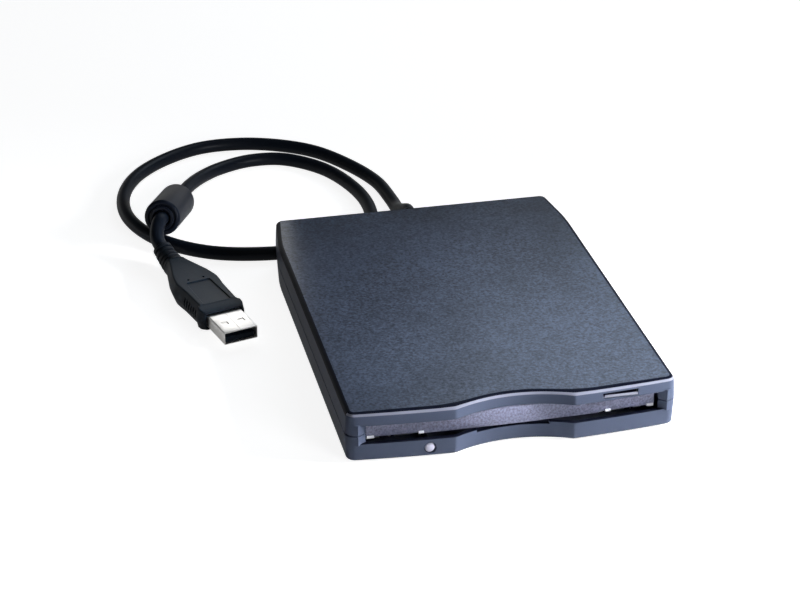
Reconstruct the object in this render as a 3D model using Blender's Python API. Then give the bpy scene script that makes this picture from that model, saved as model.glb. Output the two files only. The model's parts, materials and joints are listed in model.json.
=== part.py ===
"""External floppy disk drive with its cord and plug, every separate piece a named solid.

Metres, +Z up. The drive stands on its four feet with the slot towards -Y, and the origin is the
middle of its base. Places along the drive are given as set-backs from the middle of its front.
"""

import math

import bmesh
import bpy
from mathutils import Matrix, Vector

# Clearances and overruns
SEAT_GAP = 0.0003
RUNNING_GAP = 0.0004
OVERRUN = 0.002
SHARP_ANGLE = math.radians(35)

# Housing shells
HOUSING_WIDTH = 0.104
HOUSING_DEPTH = 0.142
HOUSING_TOP = 0.0171
WALL = 0.0015
PARTING_HEIGHT = 0.0096
PARTING_GAP = 0.0003
SHELL_DRAFT = 0.00035
TOP_EDGE_ROUND = 0.0011
BOTTOM_EDGE_ROUND = 0.0008
EDGE_STEPS = 3
FRONT_BOW = 0.003
FRONT_CORNER_RADIUS = 0.005
REAR_CORNER_RADIUS = 0.003
TAPER_LENGTH = 0.020
TAPER_INSET = 0.0026
TAPER_BLEND_RADIUS = 0.080
RECESS_WIDTH = 0.040
RECESS_DEPTH = 0.0046
RECESS_EDGE_RADIUS = 0.003
RECESS_STEPS = 4
BOW_STEPS = 3
CORNER_STEPS = 4

# Feet, under the corners of the bottom shell
FOOT_HEIGHT = 0.0008
FOOT_SEAT_DEPTH = 0.0003
FOOT_RADIUS = 0.0045
FOOT_EDGE = 0.0003
FOOT_SIDE_INSET = 0.010
FOOT_FRONT_SETBACK = 0.014
FOOT_REAR_INSET = 0.016
ROUND_STEPS = 20

# Disk slot in the front wall
SLOT_TOP = 0.01285
SLOT_BOTTOM = 0.0067
SLOT_MOUTH_FLARE = 0.0031
SLOT_MOUTH_SETBACK = 0.0023
SLOT_CHEEK_SETBACK = 0.0033
SLOT_NOTCH_WIDTH = 0.023
SLOT_NOTCH_DROP = 0.0008

# Slot flap and its pins
FLAP_WIDTH = 0.0924
FLAP_THICKNESS = 0.0008
FLAP_SETBACK = 0.0046
FLAP_BOW = 0.0012
FLAP_HINGE_HEIGHT = 0.0121
FLAP_BOTTOM = 0.0070
FLAP_STEPS = 12
FLAP_TOE_WIDTH = 0.0013
FLAP_TOE_DROP = 0.0004
FLAP_TOE_PLACE_SHARES = (-0.4870, -0.3139, 0.3355, 0.4870)
FLAP_PIN_RADIUS = 0.0006
FLAP_PIN_LENGTH = 0.0018
EAR_THICKNESS = 0.0016
EAR_RADIUS = 0.0018
PIN_STEPS = 12

# Eject button
BUTTON_LEFT = 0.0274
BUTTON_RIGHT = 0.0391
BUTTON_POCKET_BOTTOM = 0.0133
BUTTON_POCKET_TOP = 0.0155
BUTTON_SETBACK = 0.0017
BUTTON_DEPTH = 0.0050
BUTTON_EDGE = 0.0003
BUTTON_STEM_WIDTH = 0.006
BUTTON_STEM_THICKNESS = 0.0008
BUTTON_STEM_END = 0.0235
POCKET_CORNER = 0.0008

# Status light and its light pipe
LIGHT_PLACE = -0.0268
LIGHT_HEIGHT = 0.0036
LIGHT_RADIUS = 0.00165
LIGHT_SETBACK = 0.0009
LIGHT_HEAD_LENGTH = 0.003
LIGHT_PIPE_RADIUS = 0.0010
LIGHT_PIPE_END = 0.0096
LAMP_WIDTH = 0.003
LAMP_LENGTH = 0.0012
LAMP_HEIGHT = 0.0016

# Chassis, a folded tray of sheet steel
CHASSIS_SHEET = 0.0006
CHASSIS_FRONT = 0.012
CHASSIS_REAR = 0.1276
CHASSIS_WALL_TOP = 0.0143
CHASSIS_WINDOW_FRONT = 0.084
CHASSIS_WINDOW_REAR = 0.114
CHASSIS_WINDOW_LEFT = 0.016
CHASSIS_WINDOW_RIGHT = 0.034
CHASSIS_LIGHTENING_FRONT = 0.020
CHASSIS_LIGHTENING_REAR = 0.027

# Disk levels: the bay fits the standard disk
DISK_WIDTH = 0.090
DISK_THICKNESS = 0.0033
DISK_DROP = 0.0020
EJECT_TRAVEL = 0.004

# Disk holder
HOLDER_SHEET = 0.0005
HOLDER_FRONT = 0.014
HOLDER_REAR = 0.101
HOLDER_SIDE_ROOM = 0.0003
HOLDER_LIP_BOTTOM = 0.0076
HOLDER_LIP_WIDTH = 0.003
HOLDER_LIP_FRONT = 0.022
HOLDER_HEIGHT_ROOM = 0.0009
HOLDER_NOTCH_WIDTH = 0.013
HOLDER_NOTCH_FRONT = 0.077
HOLDER_PIN_RADIUS = 0.0009
HOLDER_PIN_SETBACKS = (0.030, 0.090)
HOLDER_RIB_WIDTH = 0.003
HOLDER_RIB_HEIGHT = 0.0003
HOLDER_RIB_PLACES = (-0.028, 0.028)
HOLDER_RIB_FRONT = 0.030
HOLDER_RIB_REAR = 0.070

# Eject slider over the holder
SLIDER_SHEET = 0.0005
SLIDER_FRONT = 0.0165
SLIDER_BAR_REAR = 0.026
SLIDER_REAR = 0.109
SLIDER_STRIP_WIDTH = 0.0065
SLIDER_FLANGE_BOTTOM = 0.0066
SLIDER_TAB_WIDTH = 0.005
SLIDER_TAB_BOTTOM = 0.0075
SLIDER_TAB_TOP = 0.0117

# Shield over the mechanism
SHIELD_SHEET = 0.0004
SHIELD_FRONT = 0.026
SHIELD_VENT_WIDTH = 0.050
SHIELD_VENT_FRONT = 0.040
SHIELD_VENT_REAR = 0.052

# Shutter lever on the holder
LEVER_PLACE = -0.036
LEVER_SETBACK = 0.097
LEVER_LENGTH = 0.026
LEVER_SHEET = 0.0005
LEVER_REST_ANGLE = math.radians(-42)
LEVER_SWING = math.radians(55)
LEVER_WIDTH = 0.0036
LEVER_EYE_RADIUS = 0.0032
LEVER_TIP_RADIUS = 0.0018
LEVER_PIN_RADIUS = 0.0008
LEVER_PIN_BOTTOM = 0.0095
RIVET_RADIUS = 0.0011
RIVET_HEAD_RADIUS = 0.0022
RIVET_HEAD_HEIGHT = 0.0004
LEVER_SPRING_RADIUS = 0.0031
LEVER_SPRING_WIRE = 0.00012
LEVER_SPRING_LEG = 0.006
LEVER_SPRING_SWEEP = math.radians(200)
LEVER_SPRING_STEPS = 14

# Spindle motor under the disk
HUB_SETBACK = 0.057
BOARD_THICKNESS = 0.0006
BOARD_HALF_WIDTH = 0.031
BOARD_FRONT = 0.030
BOARD_REAR = 0.0775
BOARD_TONGUE_LEFT = -0.031
BOARD_TONGUE_RIGHT = -0.021
STATOR_HEIGHT = 0.0009
STATOR_TEETH = 9
STATOR_RADIUS = 0.0170
STATOR_CORE_RADIUS = 0.0075
STATOR_BORE_RADIUS = 0.0046
STATOR_TOOTH_WIDTH = 0.0044
STATOR_SHOE_LENGTH = 0.0012
ROTOR_RADIUS = 0.0200
ROTOR_SHEET = 0.0005
ROTOR_RIM_BOTTOM = 0.0046
MAGNET_THICKNESS = 0.0012
SPINDLE_RADIUS = 0.0020
SPINDLE_TOP = 0.0080
BEARING_RADIUS = 0.0042
HUB_RADIUS = 0.0125
HUB_PLATE_THICKNESS = 0.0007
HUB_RIM = 0.0022
DRIVE_PIN_RADIUS = 0.0009
DRIVE_PIN_PLACE = 0.0095
DRIVE_PIN_HEIGHT = 0.0006

# Head carriage on its guide rod
HEAD_SETBACK = 0.0965
HEAD_TRAVEL = 0.0148
HEAD_TRAVEL_SPARE = 0.0009
CARRIAGE_BOTTOM = 0.0036
CARRIAGE_DECK = 0.0060
CARRIAGE_FRONT = 0.0933
CARRIAGE_REAR = 0.1244
CARRIAGE_LEFT = -0.005
CARRIAGE_RIGHT = 0.008
CARRIAGE_WING_LEFT = -0.0122
CARRIAGE_WING_FRONT = 0.100
CARRIAGE_WING_REAR = 0.122
CARRIAGE_BLOCK_FRONT = 0.1174
CARRIAGE_BLOCK_TOP = 0.0090
ROD_PLACE = -0.0095
ROD_HEIGHT = 0.0047
ROD_RADIUS = 0.0008
ROD_FRONT = 0.0796
ROD_REAR = 0.1266
CLAMP_WIDTH = 0.0044
CLAMP_LENGTH = 0.0022
CLAMP_TOP = 0.0062
HEAD_HALF_WIDTH = 0.0029
HEAD_LENGTH = 0.005
LOWER_HEAD_TOP = 0.0080
UPPER_HEAD_BOTTOM = 0.0083
UPPER_HEAD_TOP = 0.0091
ARM_THICKNESS = 0.0008
ARM_WIDTH = 0.008
ARM_TIP_WIDTH = 0.0062
ARM_FRONT = 0.0935
ARM_REAR = 0.1235
ARM_PIVOT_SETBACK = 0.1215
HEAD_LIFT = 0.0036

# Stepper motor and lead screw behind the disk
SCREW_PLACE = 0.0135
SCREW_HEIGHT = 0.0086
SCREW_RADIUS = 0.0012
SCREW_THREAD_DEPTH = 0.00025
SCREW_JOURNAL_RADIUS = 0.0007
SCREW_TAIL = 0.0005
SCREW_REAR = 0.1205
SCREW_LEAD = 0.00375
FOLLOWER_FRONT = 0.1190
FOLLOWER_THICKNESS = 0.0012
FOLLOWER_REACH = 0.0158
FOLLOWER_BOTTOM = 0.0068
FOLLOWER_TOP = 0.0104
STEPPER_RADIUS = 0.0050
STEPPER_FRONT = 0.1208
STEPPER_REAR = 0.1266
BRACKET_SHEET = 0.0006
BRACKET_HALF_WIDTH = 0.0036
BRACKET_TOP = 0.0110

# Springs
SLIDER_SPRING_RADIUS = 0.0016
SLIDER_SPRING_WIRE = 0.0002
SLIDER_SPRING_TURNS = 8
SLIDER_SPRING_PLACE = 0.0432
SLIDER_SPRING_HEIGHT = 0.0096
FLAP_SPRING_RADIUS = 0.0009
FLAP_SPRING_WIRE = 0.00012
FLAP_SPRING_TURNS = 4
FLAP_SPRING_PITCH = 0.0004
FLAP_SPRING_PLACE = -0.006
FLAP_SPRING_SETBACK = 0.0085
FLAP_SPRING_HEIGHT = 0.0143
FLAP_SPRING_LEG_DROP = 0.0010
SPRING_POINTS_PER_TURN = 8

# Fasteners, countersunk into the bottom shell
SCREW_HEAD_RADIUS = 0.0021
SCREW_HEAD_HEIGHT = 0.0010
SCREW_SHANK_RADIUS = 0.0010
SCREW_SINK = 0.0001
CHASSIS_SCREW_SPREAD = 0.082
CHASSIS_SCREW_SETBACKS = (0.0245, 0.112)
CHASSIS_SCREW_TOP = 0.0042
HOUSING_SCREW_SIDE_INSET = 0.009
HOUSING_SCREW_REAR_INSET = 0.0075
HOUSING_SCREW_TOP = 0.0120
BOSS_RADIUS = 0.0026
SCREW_SLOT_WIDTH = 0.0005
SCREW_SLOT_DEPTH = 0.0005

# Interface board behind the chassis, with its chip, socket and flat cable
INTERFACE_REAR_ROOM = 0.0035
INTERFACE_LENGTH = 0.0093
INTERFACE_HALF_WIDTH = 0.038
INTERFACE_BOTTOM = 0.0044
INTERFACE_THICKNESS = 0.0010
CHIP_PLACE = 0.015
CHIP_SIZE = 0.007
CHIP_HEIGHT = 0.0014
SOCKET_PLACE = -0.010
SOCKET_WIDTH = 0.008
SOCKET_LENGTH = 0.004
SOCKET_HEIGHT = 0.003
RIBBON_PLACE = -0.026
RIBBON_WIDTH = 0.012
RIBBON_THICKNESS = 0.0003
RIBBON_FRONT = 0.112
RIBBON_LAP = 0.0043
RIBBON_SLOT_HEIGHT = 0.0024
POST_RADIUS = 0.0020
POST_PLACE = 0.033

# Cord: boot, cable, ferrite bead and plug relief
CABLE_RADIUS = 0.0025
CABLE_STEP = 0.012
CABLE_FACETS = 3
CABLE_FINE_STEPS = 12
BOOT_PLACE = 0.0015
BOOT_NECK_RADIUS = 0.0033
BOOT_FLANGE_RADIUS = 0.0045
BOOT_FLANGE_LENGTH = 0.0012
BOOT_COLLAR_RADIUS = 0.0042
BOOT_TIP_RADIUS = 0.0030
BOOT_LENGTH = 0.010
BOOT_STEPS = 16
BEAD_RADIUS = 0.0065
BEAD_COLLAR_RADIUS = 0.0050
BEAD_COLLAR_LENGTH = 0.0010
BEAD_EDGE = 0.0008
BEAD_STEPS = 20
RELIEF_RADIUS = 0.0041
RELIEF_TIP_RADIUS = 0.0032
RELIEF_RIBS = 5
RELIEF_RIB_SHARE = 0.65
RELIEF_GROOVE = 0.0006
RELIEF_STEPS = 16

# USB plug: the mould, the shell and its tongue
PLUG_PLACE = (-0.0746, 0.0260)
PLUG_TURN = math.radians(14.8)
PLUG_LENGTH = 0.0425
PLUG_WIDTH = 0.0174
PLUG_HEIGHT = 0.0080
PLUG_BEVEL = 0.0013
PLUG_SECTION_SHARES = ((0.00, 0.85, 0.78), (0.05, 0.95, 0.90), (0.10, 0.96, 0.93), (0.13, 0.91, 1.00),
                       (0.40, 0.94, 1.00), (0.55, 1.00, 1.00), (0.70, 0.87, 1.00), (0.86, 0.63, 0.98),
                       (0.96, 0.49, 0.96), (1.00, 0.47, 0.93))
PANEL_FRONT_WIDTH = 0.0100
PANEL_REAR_WIDTH = 0.0086
PANEL_LENGTH = 0.0170
PANEL_FRONT = 0.0054
PANEL_DEPTH = 0.0004
DIMPLE_RADIUS = 0.0005
DIMPLE_SPREAD = 0.0056
DIMPLE_SETBACK = 0.0242
DIMPLE_STEPS = 8
GRIP_RIBS = 6
GRIP_FRONT = 0.0058
GRIP_PITCH = 0.0018
GRIP_WIDTH = 0.0008
GRIP_DEPTH = 0.0004
GRIP_HEIGHT = 0.0046
USB_WIDTH = 0.0120
USB_HEIGHT = 0.0045
USB_REACH = 0.0139
USB_ROOT = 0.0060
USB_SHEET = 0.0004
USB_LATCH = 0.0022
USB_LATCH_SPREAD = 0.0058
USB_LATCH_SETBACK = 0.0052
TONGUE_WIDTH = 0.0104
TONGUE_HEIGHT = 0.0018
TONGUE_SETBACK = 0.0010

# Route of the cord: points of its centre line, set by hand, first from the boot to the bead
CABLE_ROUTE = (
    (0.0015, 0.0860, 0.0086), (0.0015, 0.0925, 0.0056), (0.0014, 0.1000, 0.0030),
    (0.0011, 0.1090, 0.0025), (-0.0010, 0.1260, 0.0025), (-0.0082, 0.1437, 0.0025),
    (-0.0186, 0.1593, 0.0025), (-0.0307, 0.1681, 0.0025), (-0.0455, 0.1732, 0.0025),
    (-0.0618, 0.1727, 0.0025), (-0.0771, 0.1644, 0.0025), (-0.0897, 0.1508, 0.0025),
    (-0.0966, 0.1329, 0.0025), (-0.0965, 0.1132, 0.0025), (-0.0878, 0.0934, 0.0025),
    (-0.0713, 0.0793, 0.0025), (-0.0493, 0.0737, 0.0025), (-0.0330, 0.0750, 0.0025),
    (-0.0195, 0.0800, 0.0025), (-0.0112, 0.0892, 0.0025), (-0.0084, 0.1052, 0.0025),
    (-0.0108, 0.1237, 0.0025), (-0.0190, 0.1430, 0.0025), (-0.0325, 0.1550, 0.0025),
    (-0.0450, 0.1562, 0.0025), (-0.0568, 0.1512, 0.0027), (-0.0652, 0.1432, 0.0035),
    (-0.0722, 0.1323, 0.0047),
)
BEAD_REAR = (-0.0780, 0.1175, 0.0065)
BEAD_FRONT = (-0.0872, 0.0904, 0.0124)
CABLE_END_ROUTE = ((-0.0890, 0.0866, 0.0114), (-0.0898, 0.0838, 0.0098))
RELIEF_END = (-0.0891, 0.0791, 0.0070)


def clear_scene():
    """Removes whatever the scene holds."""
    for old in list(bpy.data.objects):
        bpy.data.objects.remove(old, do_unlink=True)


def finish_material(name, colour, roughness, metallic=0.0):
    """A plain Principled material."""
    made = bpy.data.materials.new(name)
    made.use_nodes = True
    shader = made.node_tree.nodes["Principled BSDF"]
    shader.inputs["Base Color"].default_value = (*colour, 1.0)
    shader.inputs["Roughness"].default_value = roughness
    shader.inputs["Metallic"].default_value = metallic
    made.diffuse_color = (*colour, 1.0)
    return made


# Outlines

def arc(centre, radius, start, end, steps):
    """Points of a circular arc, both ends included."""
    angles = [start + (end - start) * step / steps for step in range(steps + 1)]
    return [(centre[0] + radius * math.cos(a), centre[1] + radius * math.sin(a)) for a in angles]


def rounded(corners):
    """Closed outline through corners (x, y, radius, steps), each rounded to its radius."""
    points = []
    for index, (x, y, radius, steps) in enumerate(corners):
        if not radius:
            points.append((x, y))
            continue
        corner = Vector((x, y))
        before = (Vector(corners[index - 1][:2]) - corner).normalized()
        after = (Vector(corners[(index + 1) % len(corners)][:2]) - corner).normalized()
        half = before.angle(after) / 2
        centre = corner + (before + after).normalized() * (radius / math.sin(half))
        first = corner + before * (radius / math.tan(half)) - centre
        last = corner + after * (radius / math.tan(half)) - centre
        start = math.atan2(first.y, first.x)
        turn = (math.atan2(last.y, last.x) - start + math.pi) % math.tau - math.pi
        points += arc(centre, radius, start, start + turn, steps)
    return points


def inset(outline, distance):
    """A counter-clockwise outline moved inwards by a distance."""
    moved = []
    for index, point in enumerate(outline):
        spot = Vector(point)
        before = (spot - Vector(outline[index - 1])).normalized()
        after = (Vector(outline[(index + 1) % len(outline)]) - spot).normalized()
        inward = Vector((-before.y - after.y, before.x + after.x)).normalized()
        moved.append(tuple(spot + inward * (distance / inward.dot(Vector((-before.y, before.x))))))
    return moved


def front_bow(x):
    """Set-back of the bowed front at a distance from its middle."""
    half = HOUSING_WIDTH / 2
    radius = (half ** 2 + FRONT_BOW ** 2) / (2 * FRONT_BOW)
    return radius - math.sqrt(radius ** 2 - x ** 2)


def recess_bow(x):
    """Set-back of the finger recess at a distance from the middle of the front."""
    half = RECESS_WIDTH / 2
    rise = RECESS_DEPTH - front_bow(half)
    radius = (half ** 2 + rise ** 2) / (2 * rise)
    return RECESS_DEPTH - radius + math.sqrt(radius ** 2 - x ** 2)


def housing_corners():
    """Corners of the housing's outline, from the middle of its front round to the right and back."""
    half = HOUSING_WIDTH / 2
    edge = RECESS_WIDTH / 2
    right = [(edge * step / RECESS_STEPS, recess_bow(edge * step / RECESS_STEPS), 0, 0)
             for step in range(RECESS_STEPS)]
    right.append((edge, front_bow(edge), RECESS_EDGE_RADIUS, CORNER_STEPS))
    for step in range(1, BOW_STEPS):
        x = edge + (half - edge) * step / BOW_STEPS
        right.append((x, front_bow(x), 0, 0))
    right += [(half, FRONT_BOW, FRONT_CORNER_RADIUS, CORNER_STEPS),
              (half, HOUSING_DEPTH - TAPER_LENGTH, TAPER_BLEND_RADIUS, CORNER_STEPS),
              (half - TAPER_INSET, HOUSING_DEPTH, REAR_CORNER_RADIUS, CORNER_STEPS)]
    left = [(-x, y, radius, steps) for x, y, radius, steps in reversed(right) if x > 0]
    return right + left


RAW_OUTLINE = rounded(housing_corners())
FRONT = -(min(y for _, y in RAW_OUTLINE) + max(y for _, y in RAW_OUTLINE)) / 2
OUTLINE = [(x, y + FRONT) for x, y in RAW_OUTLINE]
REAR = FRONT + HOUSING_DEPTH

# Heights worked out from the sizes above, from the floor of the housing up
INNER_FLOOR = FOOT_HEIGHT + WALL
CEILING = HOUSING_TOP - WALL
CHASSIS_BOTTOM = INNER_FLOOR + SEAT_GAP
CHASSIS_FLOOR = CHASSIS_BOTTOM + CHASSIS_SHEET
BOARD_BOTTOM = CHASSIS_FLOOR + SEAT_GAP
BOARD_TOP = BOARD_BOTTOM + BOARD_THICKNESS
STATOR_BOTTOM = BOARD_TOP + SEAT_GAP
STATOR_TOP = STATOR_BOTTOM + STATOR_HEIGHT
ROTOR_BOTTOM = STATOR_TOP + SEAT_GAP
ROTOR_TOP = ROTOR_BOTTOM + ROTOR_SHEET
HUB_BOTTOM = ROTOR_TOP + SEAT_GAP
HUB_TOP = HUB_BOTTOM + HUB_PLATE_THICKNESS
HOLDER_SEAT = HOLDER_LIP_BOTTOM + HOLDER_SHEET
HOLDER_CEILING = HOLDER_SEAT + DISK_THICKNESS + HOLDER_HEIGHT_ROOM
HOLDER_TOP = HOLDER_CEILING + HOLDER_SHEET
HOLDER_PIN_HEIGHT = (HOLDER_SEAT + HOLDER_TOP) / 2
SLIDER_BOTTOM = HOLDER_TOP + RUNNING_GAP
SLIDER_TOP = SLIDER_BOTTOM + SLIDER_SHEET
SHIELD_BOTTOM = CHASSIS_WALL_TOP + SEAT_GAP
LEVER_BOTTOM = HOLDER_TOP + SEAT_GAP
LEVER_TOP = LEVER_BOTTOM + LEVER_SHEET
ARM_BOTTOM = UPPER_HEAD_TOP + SEAT_GAP
ARM_TOP = ARM_BOTTOM + ARM_THICKNESS
INTERFACE_TOP = INTERFACE_BOTTOM + INTERFACE_THICKNESS

# The board behind the chassis keeps its room to the rear wall
INTERFACE_REAR = HOUSING_DEPTH - INTERFACE_REAR_ROOM
INTERFACE_FRONT = INTERFACE_REAR - INTERFACE_LENGTH

# The screw's front bearing stands where the follower stops
BRACKET_FRONT = FOLLOWER_FRONT - HEAD_TRAVEL - HEAD_TRAVEL_SPARE - BRACKET_SHEET
SCREW_FRONT = BRACKET_FRONT - SCREW_TAIL

# Half widths worked out the same way, from the disk outwards
HOLDER_INNER = DISK_WIDTH / 2 + HOLDER_SIDE_ROOM
HOLDER_OUTER = HOLDER_INNER + HOLDER_SHEET
SLIDER_INNER = HOLDER_OUTER + RUNNING_GAP
SLIDER_OUTER = SLIDER_INNER + SLIDER_SHEET
CHASSIS_INNER = SLIDER_OUTER + RUNNING_GAP
CHASSIS_OUTER = CHASSIS_INNER + CHASSIS_SHEET

ARM_REST_ANGLE = math.asin(HEAD_LIFT / (ARM_PIVOT_SETBACK - HEAD_SETBACK))


# Solids

def loft(rings, closed=False):
    """A solid skinned over rings of points, flat across its two ends or closed into a loop."""
    solid = bmesh.new()
    rows = [[solid.verts.new(point) for point in ring] for ring in rings]
    following = rows[1:] + rows[:1] if closed else rows[1:]
    for low, high in zip(rows, following):
        for index in range(len(low)):
            after = (index + 1) % len(low)
            solid.faces.new((low[index], low[after], high[after], high[index]))
    if not closed:
        solid.faces.new(rows[0][::-1])
        solid.faces.new(rows[-1])
    bmesh.ops.recalc_face_normals(solid, faces=solid.faces)
    return solid


def placed(u, v, w, axis):
    """The point at (u, v) of a section, w along the axis that the section is square to."""
    return {"X": (w, u, v), "Y": (u, w, v), "Z": (u, v, w)}[axis]


def prism(outline, low, high, axis="Z"):
    """An outline carried along an axis."""
    return loft([[placed(u, v, w, axis) for u, v in outline] for w in (low, high)])


def box(x_low, x_high, y_low, y_high, z_low, z_high):
    """A box between its limits."""
    outline = ((x_low, y_low), (x_high, y_low), (x_high, y_high), (x_low, y_high))
    return prism(outline, z_low, z_high)


def circle(radius, steps, centre=(0, 0)):
    """Points of a circle."""
    return arc(centre, radius, 0, math.tau, steps)[:-1]


def turned(profile, centre, axis="Z", steps=ROUND_STEPS, bored=False):
    """A turned solid: its profile's points are (radius, place along the axis)."""
    rings = []
    for radius, along in profile:
        rings.append([placed(u, v, along, axis) for u, v in circle(radius, steps, centre)])
    return loft(rings, closed=bored)


def mesh_of(solid, name):
    """The solid as mesh data."""
    data = bpy.data.meshes.new(name)
    solid.to_mesh(data)
    solid.free()
    return data


def combined(solid, others, operation):
    """The solid after an exact Boolean with each of the others."""
    target = bpy.data.objects.new("target", mesh_of(solid, "target"))
    bpy.context.scene.collection.objects.link(target)
    helpers = []
    for other in others:
        helper = bpy.data.objects.new("helper", mesh_of(other, "helper"))
        bpy.context.scene.collection.objects.link(helper)
        helpers.append(helper)
        modifier = target.modifiers.new("combine", "BOOLEAN")
        modifier.operation = operation
        modifier.solver = "EXACT"
        modifier.object = helper
    bpy.context.view_layer.update()
    depsgraph = bpy.context.evaluated_depsgraph_get()
    result = bmesh.new()
    result.from_object(target, depsgraph)
    for old in (target, *helpers):
        data = old.data
        bpy.data.objects.remove(old, do_unlink=True)
        bpy.data.meshes.remove(data)
    return result


def joined(solid, *others):
    """The solid with the others fused to it."""
    return combined(solid, others, "UNION")


def cut(solid, *others):
    """The solid with the others taken out of it."""
    return combined(solid, others, "DIFFERENCE")


def piece(name, solid, material, pivot=(0, 0, 0), parent=None, edge=0):
    """A named object of one solid, its origin at the pivot and its sharp edges bevelled by edge."""
    bmesh.ops.translate(solid, verts=solid.verts, vec=-Vector(pivot))
    made = bpy.data.objects.new(name, mesh_of(solid, name))
    bpy.context.scene.collection.objects.link(made)
    made.location = pivot
    if parent:
        made.parent = parent
        made.matrix_parent_inverse = Matrix.Translation(-parent.matrix_basis.translation)
    made.data.materials.append(material)
    made.data.shade_smooth()
    made.data.set_sharp_from_angle(angle=SHARP_ANGLE)
    if edge:
        bevel = made.modifiers.new("edge", "BEVEL")
        bevel.width = edge
        bevel.segments = 1
        bevel.limit_method = "ANGLE"
        bevel.angle_limit = SHARP_ANGLE
    return made


def wire(name, points, radius, material, facets=1):
    """A named tube with filled ends along points."""
    curve = bpy.data.curves.new(name, "CURVE")
    curve.dimensions = "3D"
    curve.bevel_depth = radius
    curve.bevel_resolution = facets
    curve.use_fill_caps = True
    spline = curve.splines.new("POLY")
    spline.points.add(len(points) - 1)
    for spot, point in zip(spline.points, points):
        spot.co = (*point, 1)
    made = bpy.data.objects.new(name, curve)
    bpy.context.scene.collection.objects.link(made)
    curve.materials.append(material)
    return made


# Housing

def shell_rings(outer_levels, inner_low, inner_high):
    """Rings of a cup from its inner end round the rim to its outer end; levels are (height, inset)."""
    rings = [[(x, y, inner_high) for x, y in inset(OUTLINE, WALL)],
             [(x, y, inner_low) for x, y in inset(OUTLINE, WALL)]]
    for height, distance in outer_levels:
        rings.append([(x, y, height) for x, y in inset(OUTLINE, distance)])
    return rings


def edge_levels(height, radius, direction, draft):
    """Levels of an edge rounded from the wall to a flat at a height, up for 1 and down for -1."""
    levels = []
    for step in range(EDGE_STEPS + 1):
        angle = math.pi / 2 * step / EDGE_STEPS
        rise = radius * (1 - math.sin(angle))
        levels.append((height - direction * rise, draft + radius * (1 - math.cos(angle))))
    return levels


def slot_cutter():
    """The disk slot with its flared cheeks, from in front of the housing to behind the wall."""
    inner = FLAP_WIDTH / 2 + SEAT_GAP
    mouth = inner + SLOT_MOUTH_FLARE
    back = FRONT + RECESS_DEPTH + WALL + OVERRUN
    right = [(inner, back), (inner, FRONT + SLOT_CHEEK_SETBACK),
             (mouth, FRONT + SLOT_MOUTH_SETBACK), (mouth, FRONT - OVERRUN)]
    left = [(-x, y) for x, y in reversed(right)]
    return prism(left + right, SLOT_BOTTOM, SLOT_TOP)


def boot_cutter():
    """The hole for the boot's neck, half in each shell."""
    radius = BOOT_NECK_RADIUS + SEAT_GAP
    return turned([(radius, REAR - WALL - OVERRUN), (radius, REAR + OVERRUN)],
                  (BOOT_PLACE, PARTING_HEIGHT), "Y", BOOT_STEPS)


def screw_places():
    """(x, y, top) of every countersunk screw, those of the chassis first."""
    places = []
    for setback in CHASSIS_SCREW_SETBACKS:
        for side in (-1, 1):
            places.append((side * CHASSIS_SCREW_SPREAD / 2, FRONT + setback, CHASSIS_SCREW_TOP))
    for side in (-1, 1):
        places.append((side * (HOUSING_WIDTH / 2 - HOUSING_SCREW_SIDE_INSET),
                       REAR - HOUSING_SCREW_REAR_INSET, HOUSING_SCREW_TOP))
    return places


def foot_places():
    """Centres of the four feet, with the words that name them."""
    return [(f"{end}_{side_name}", side * (HOUSING_WIDTH / 2 - FOOT_SIDE_INSET), y)
            for end, y in (("front", FRONT + FOOT_FRONT_SETBACK), ("rear", REAR - FOOT_REAR_INSET))
            for side_name, side in (("left", -1), ("right", 1))]


def screw_profile(top, gap):
    """Profile of a countersunk screw grown by a gap."""
    bottom = FOOT_HEIGHT + SCREW_SINK
    neck = bottom + SCREW_HEAD_HEIGHT
    return [(SCREW_HEAD_RADIUS + gap, bottom - gap), (SCREW_HEAD_RADIUS + gap, bottom + gap),
            (SCREW_SHANK_RADIUS + gap, neck + gap), (SCREW_SHANK_RADIUS + gap, top + gap)]


def make_bottom_shell(plastic):
    levels = [(PARTING_HEIGHT - PARTING_GAP / 2, 0)]
    levels += edge_levels(FOOT_HEIGHT, BOTTOM_EDGE_ROUND, -1, SHELL_DRAFT)
    solid = loft(shell_rings(levels, PARTING_HEIGHT - PARTING_GAP / 2, INNER_FLOOR))
    notch = box(-SLOT_NOTCH_WIDTH / 2, SLOT_NOTCH_WIDTH / 2, FRONT - OVERRUN,
                FRONT + RECESS_DEPTH + WALL + OVERRUN, SLOT_BOTTOM - SLOT_NOTCH_DROP, SLOT_TOP)
    light_end = FRONT + LIGHT_SETBACK + LIGHT_HEAD_LENGTH + SEAT_GAP
    light = turned([(LIGHT_RADIUS + SEAT_GAP, FRONT - OVERRUN), (LIGHT_RADIUS + SEAT_GAP, light_end)],
                   (LIGHT_PLACE, LIGHT_HEIGHT), "Y", PIN_STEPS)
    cuts = [slot_cutter(), notch, light, boot_cutter()]
    for _, x, y in foot_places():
        radius = FOOT_RADIUS + SEAT_GAP
        top = FOOT_HEIGHT + FOOT_SEAT_DEPTH + SEAT_GAP
        cuts.append(turned([(radius, 0), (radius, top)], (x, y)))
    for x, y, top in screw_places():
        cuts.append(turned(screw_profile(top, SEAT_GAP), (x, y), "Z", PIN_STEPS))
    posts = [turned([(POST_RADIUS, INNER_FLOOR - WALL / 2), (POST_RADIUS, INTERFACE_BOTTOM - SEAT_GAP)],
                    (side * POST_PLACE, FRONT + (INTERFACE_FRONT + INTERFACE_REAR) / 2), "Z",
                    PIN_STEPS) for side in (-1, 1)]
    return piece("bottom_shell", cut(joined(solid, *posts), *cuts), plastic)


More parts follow.
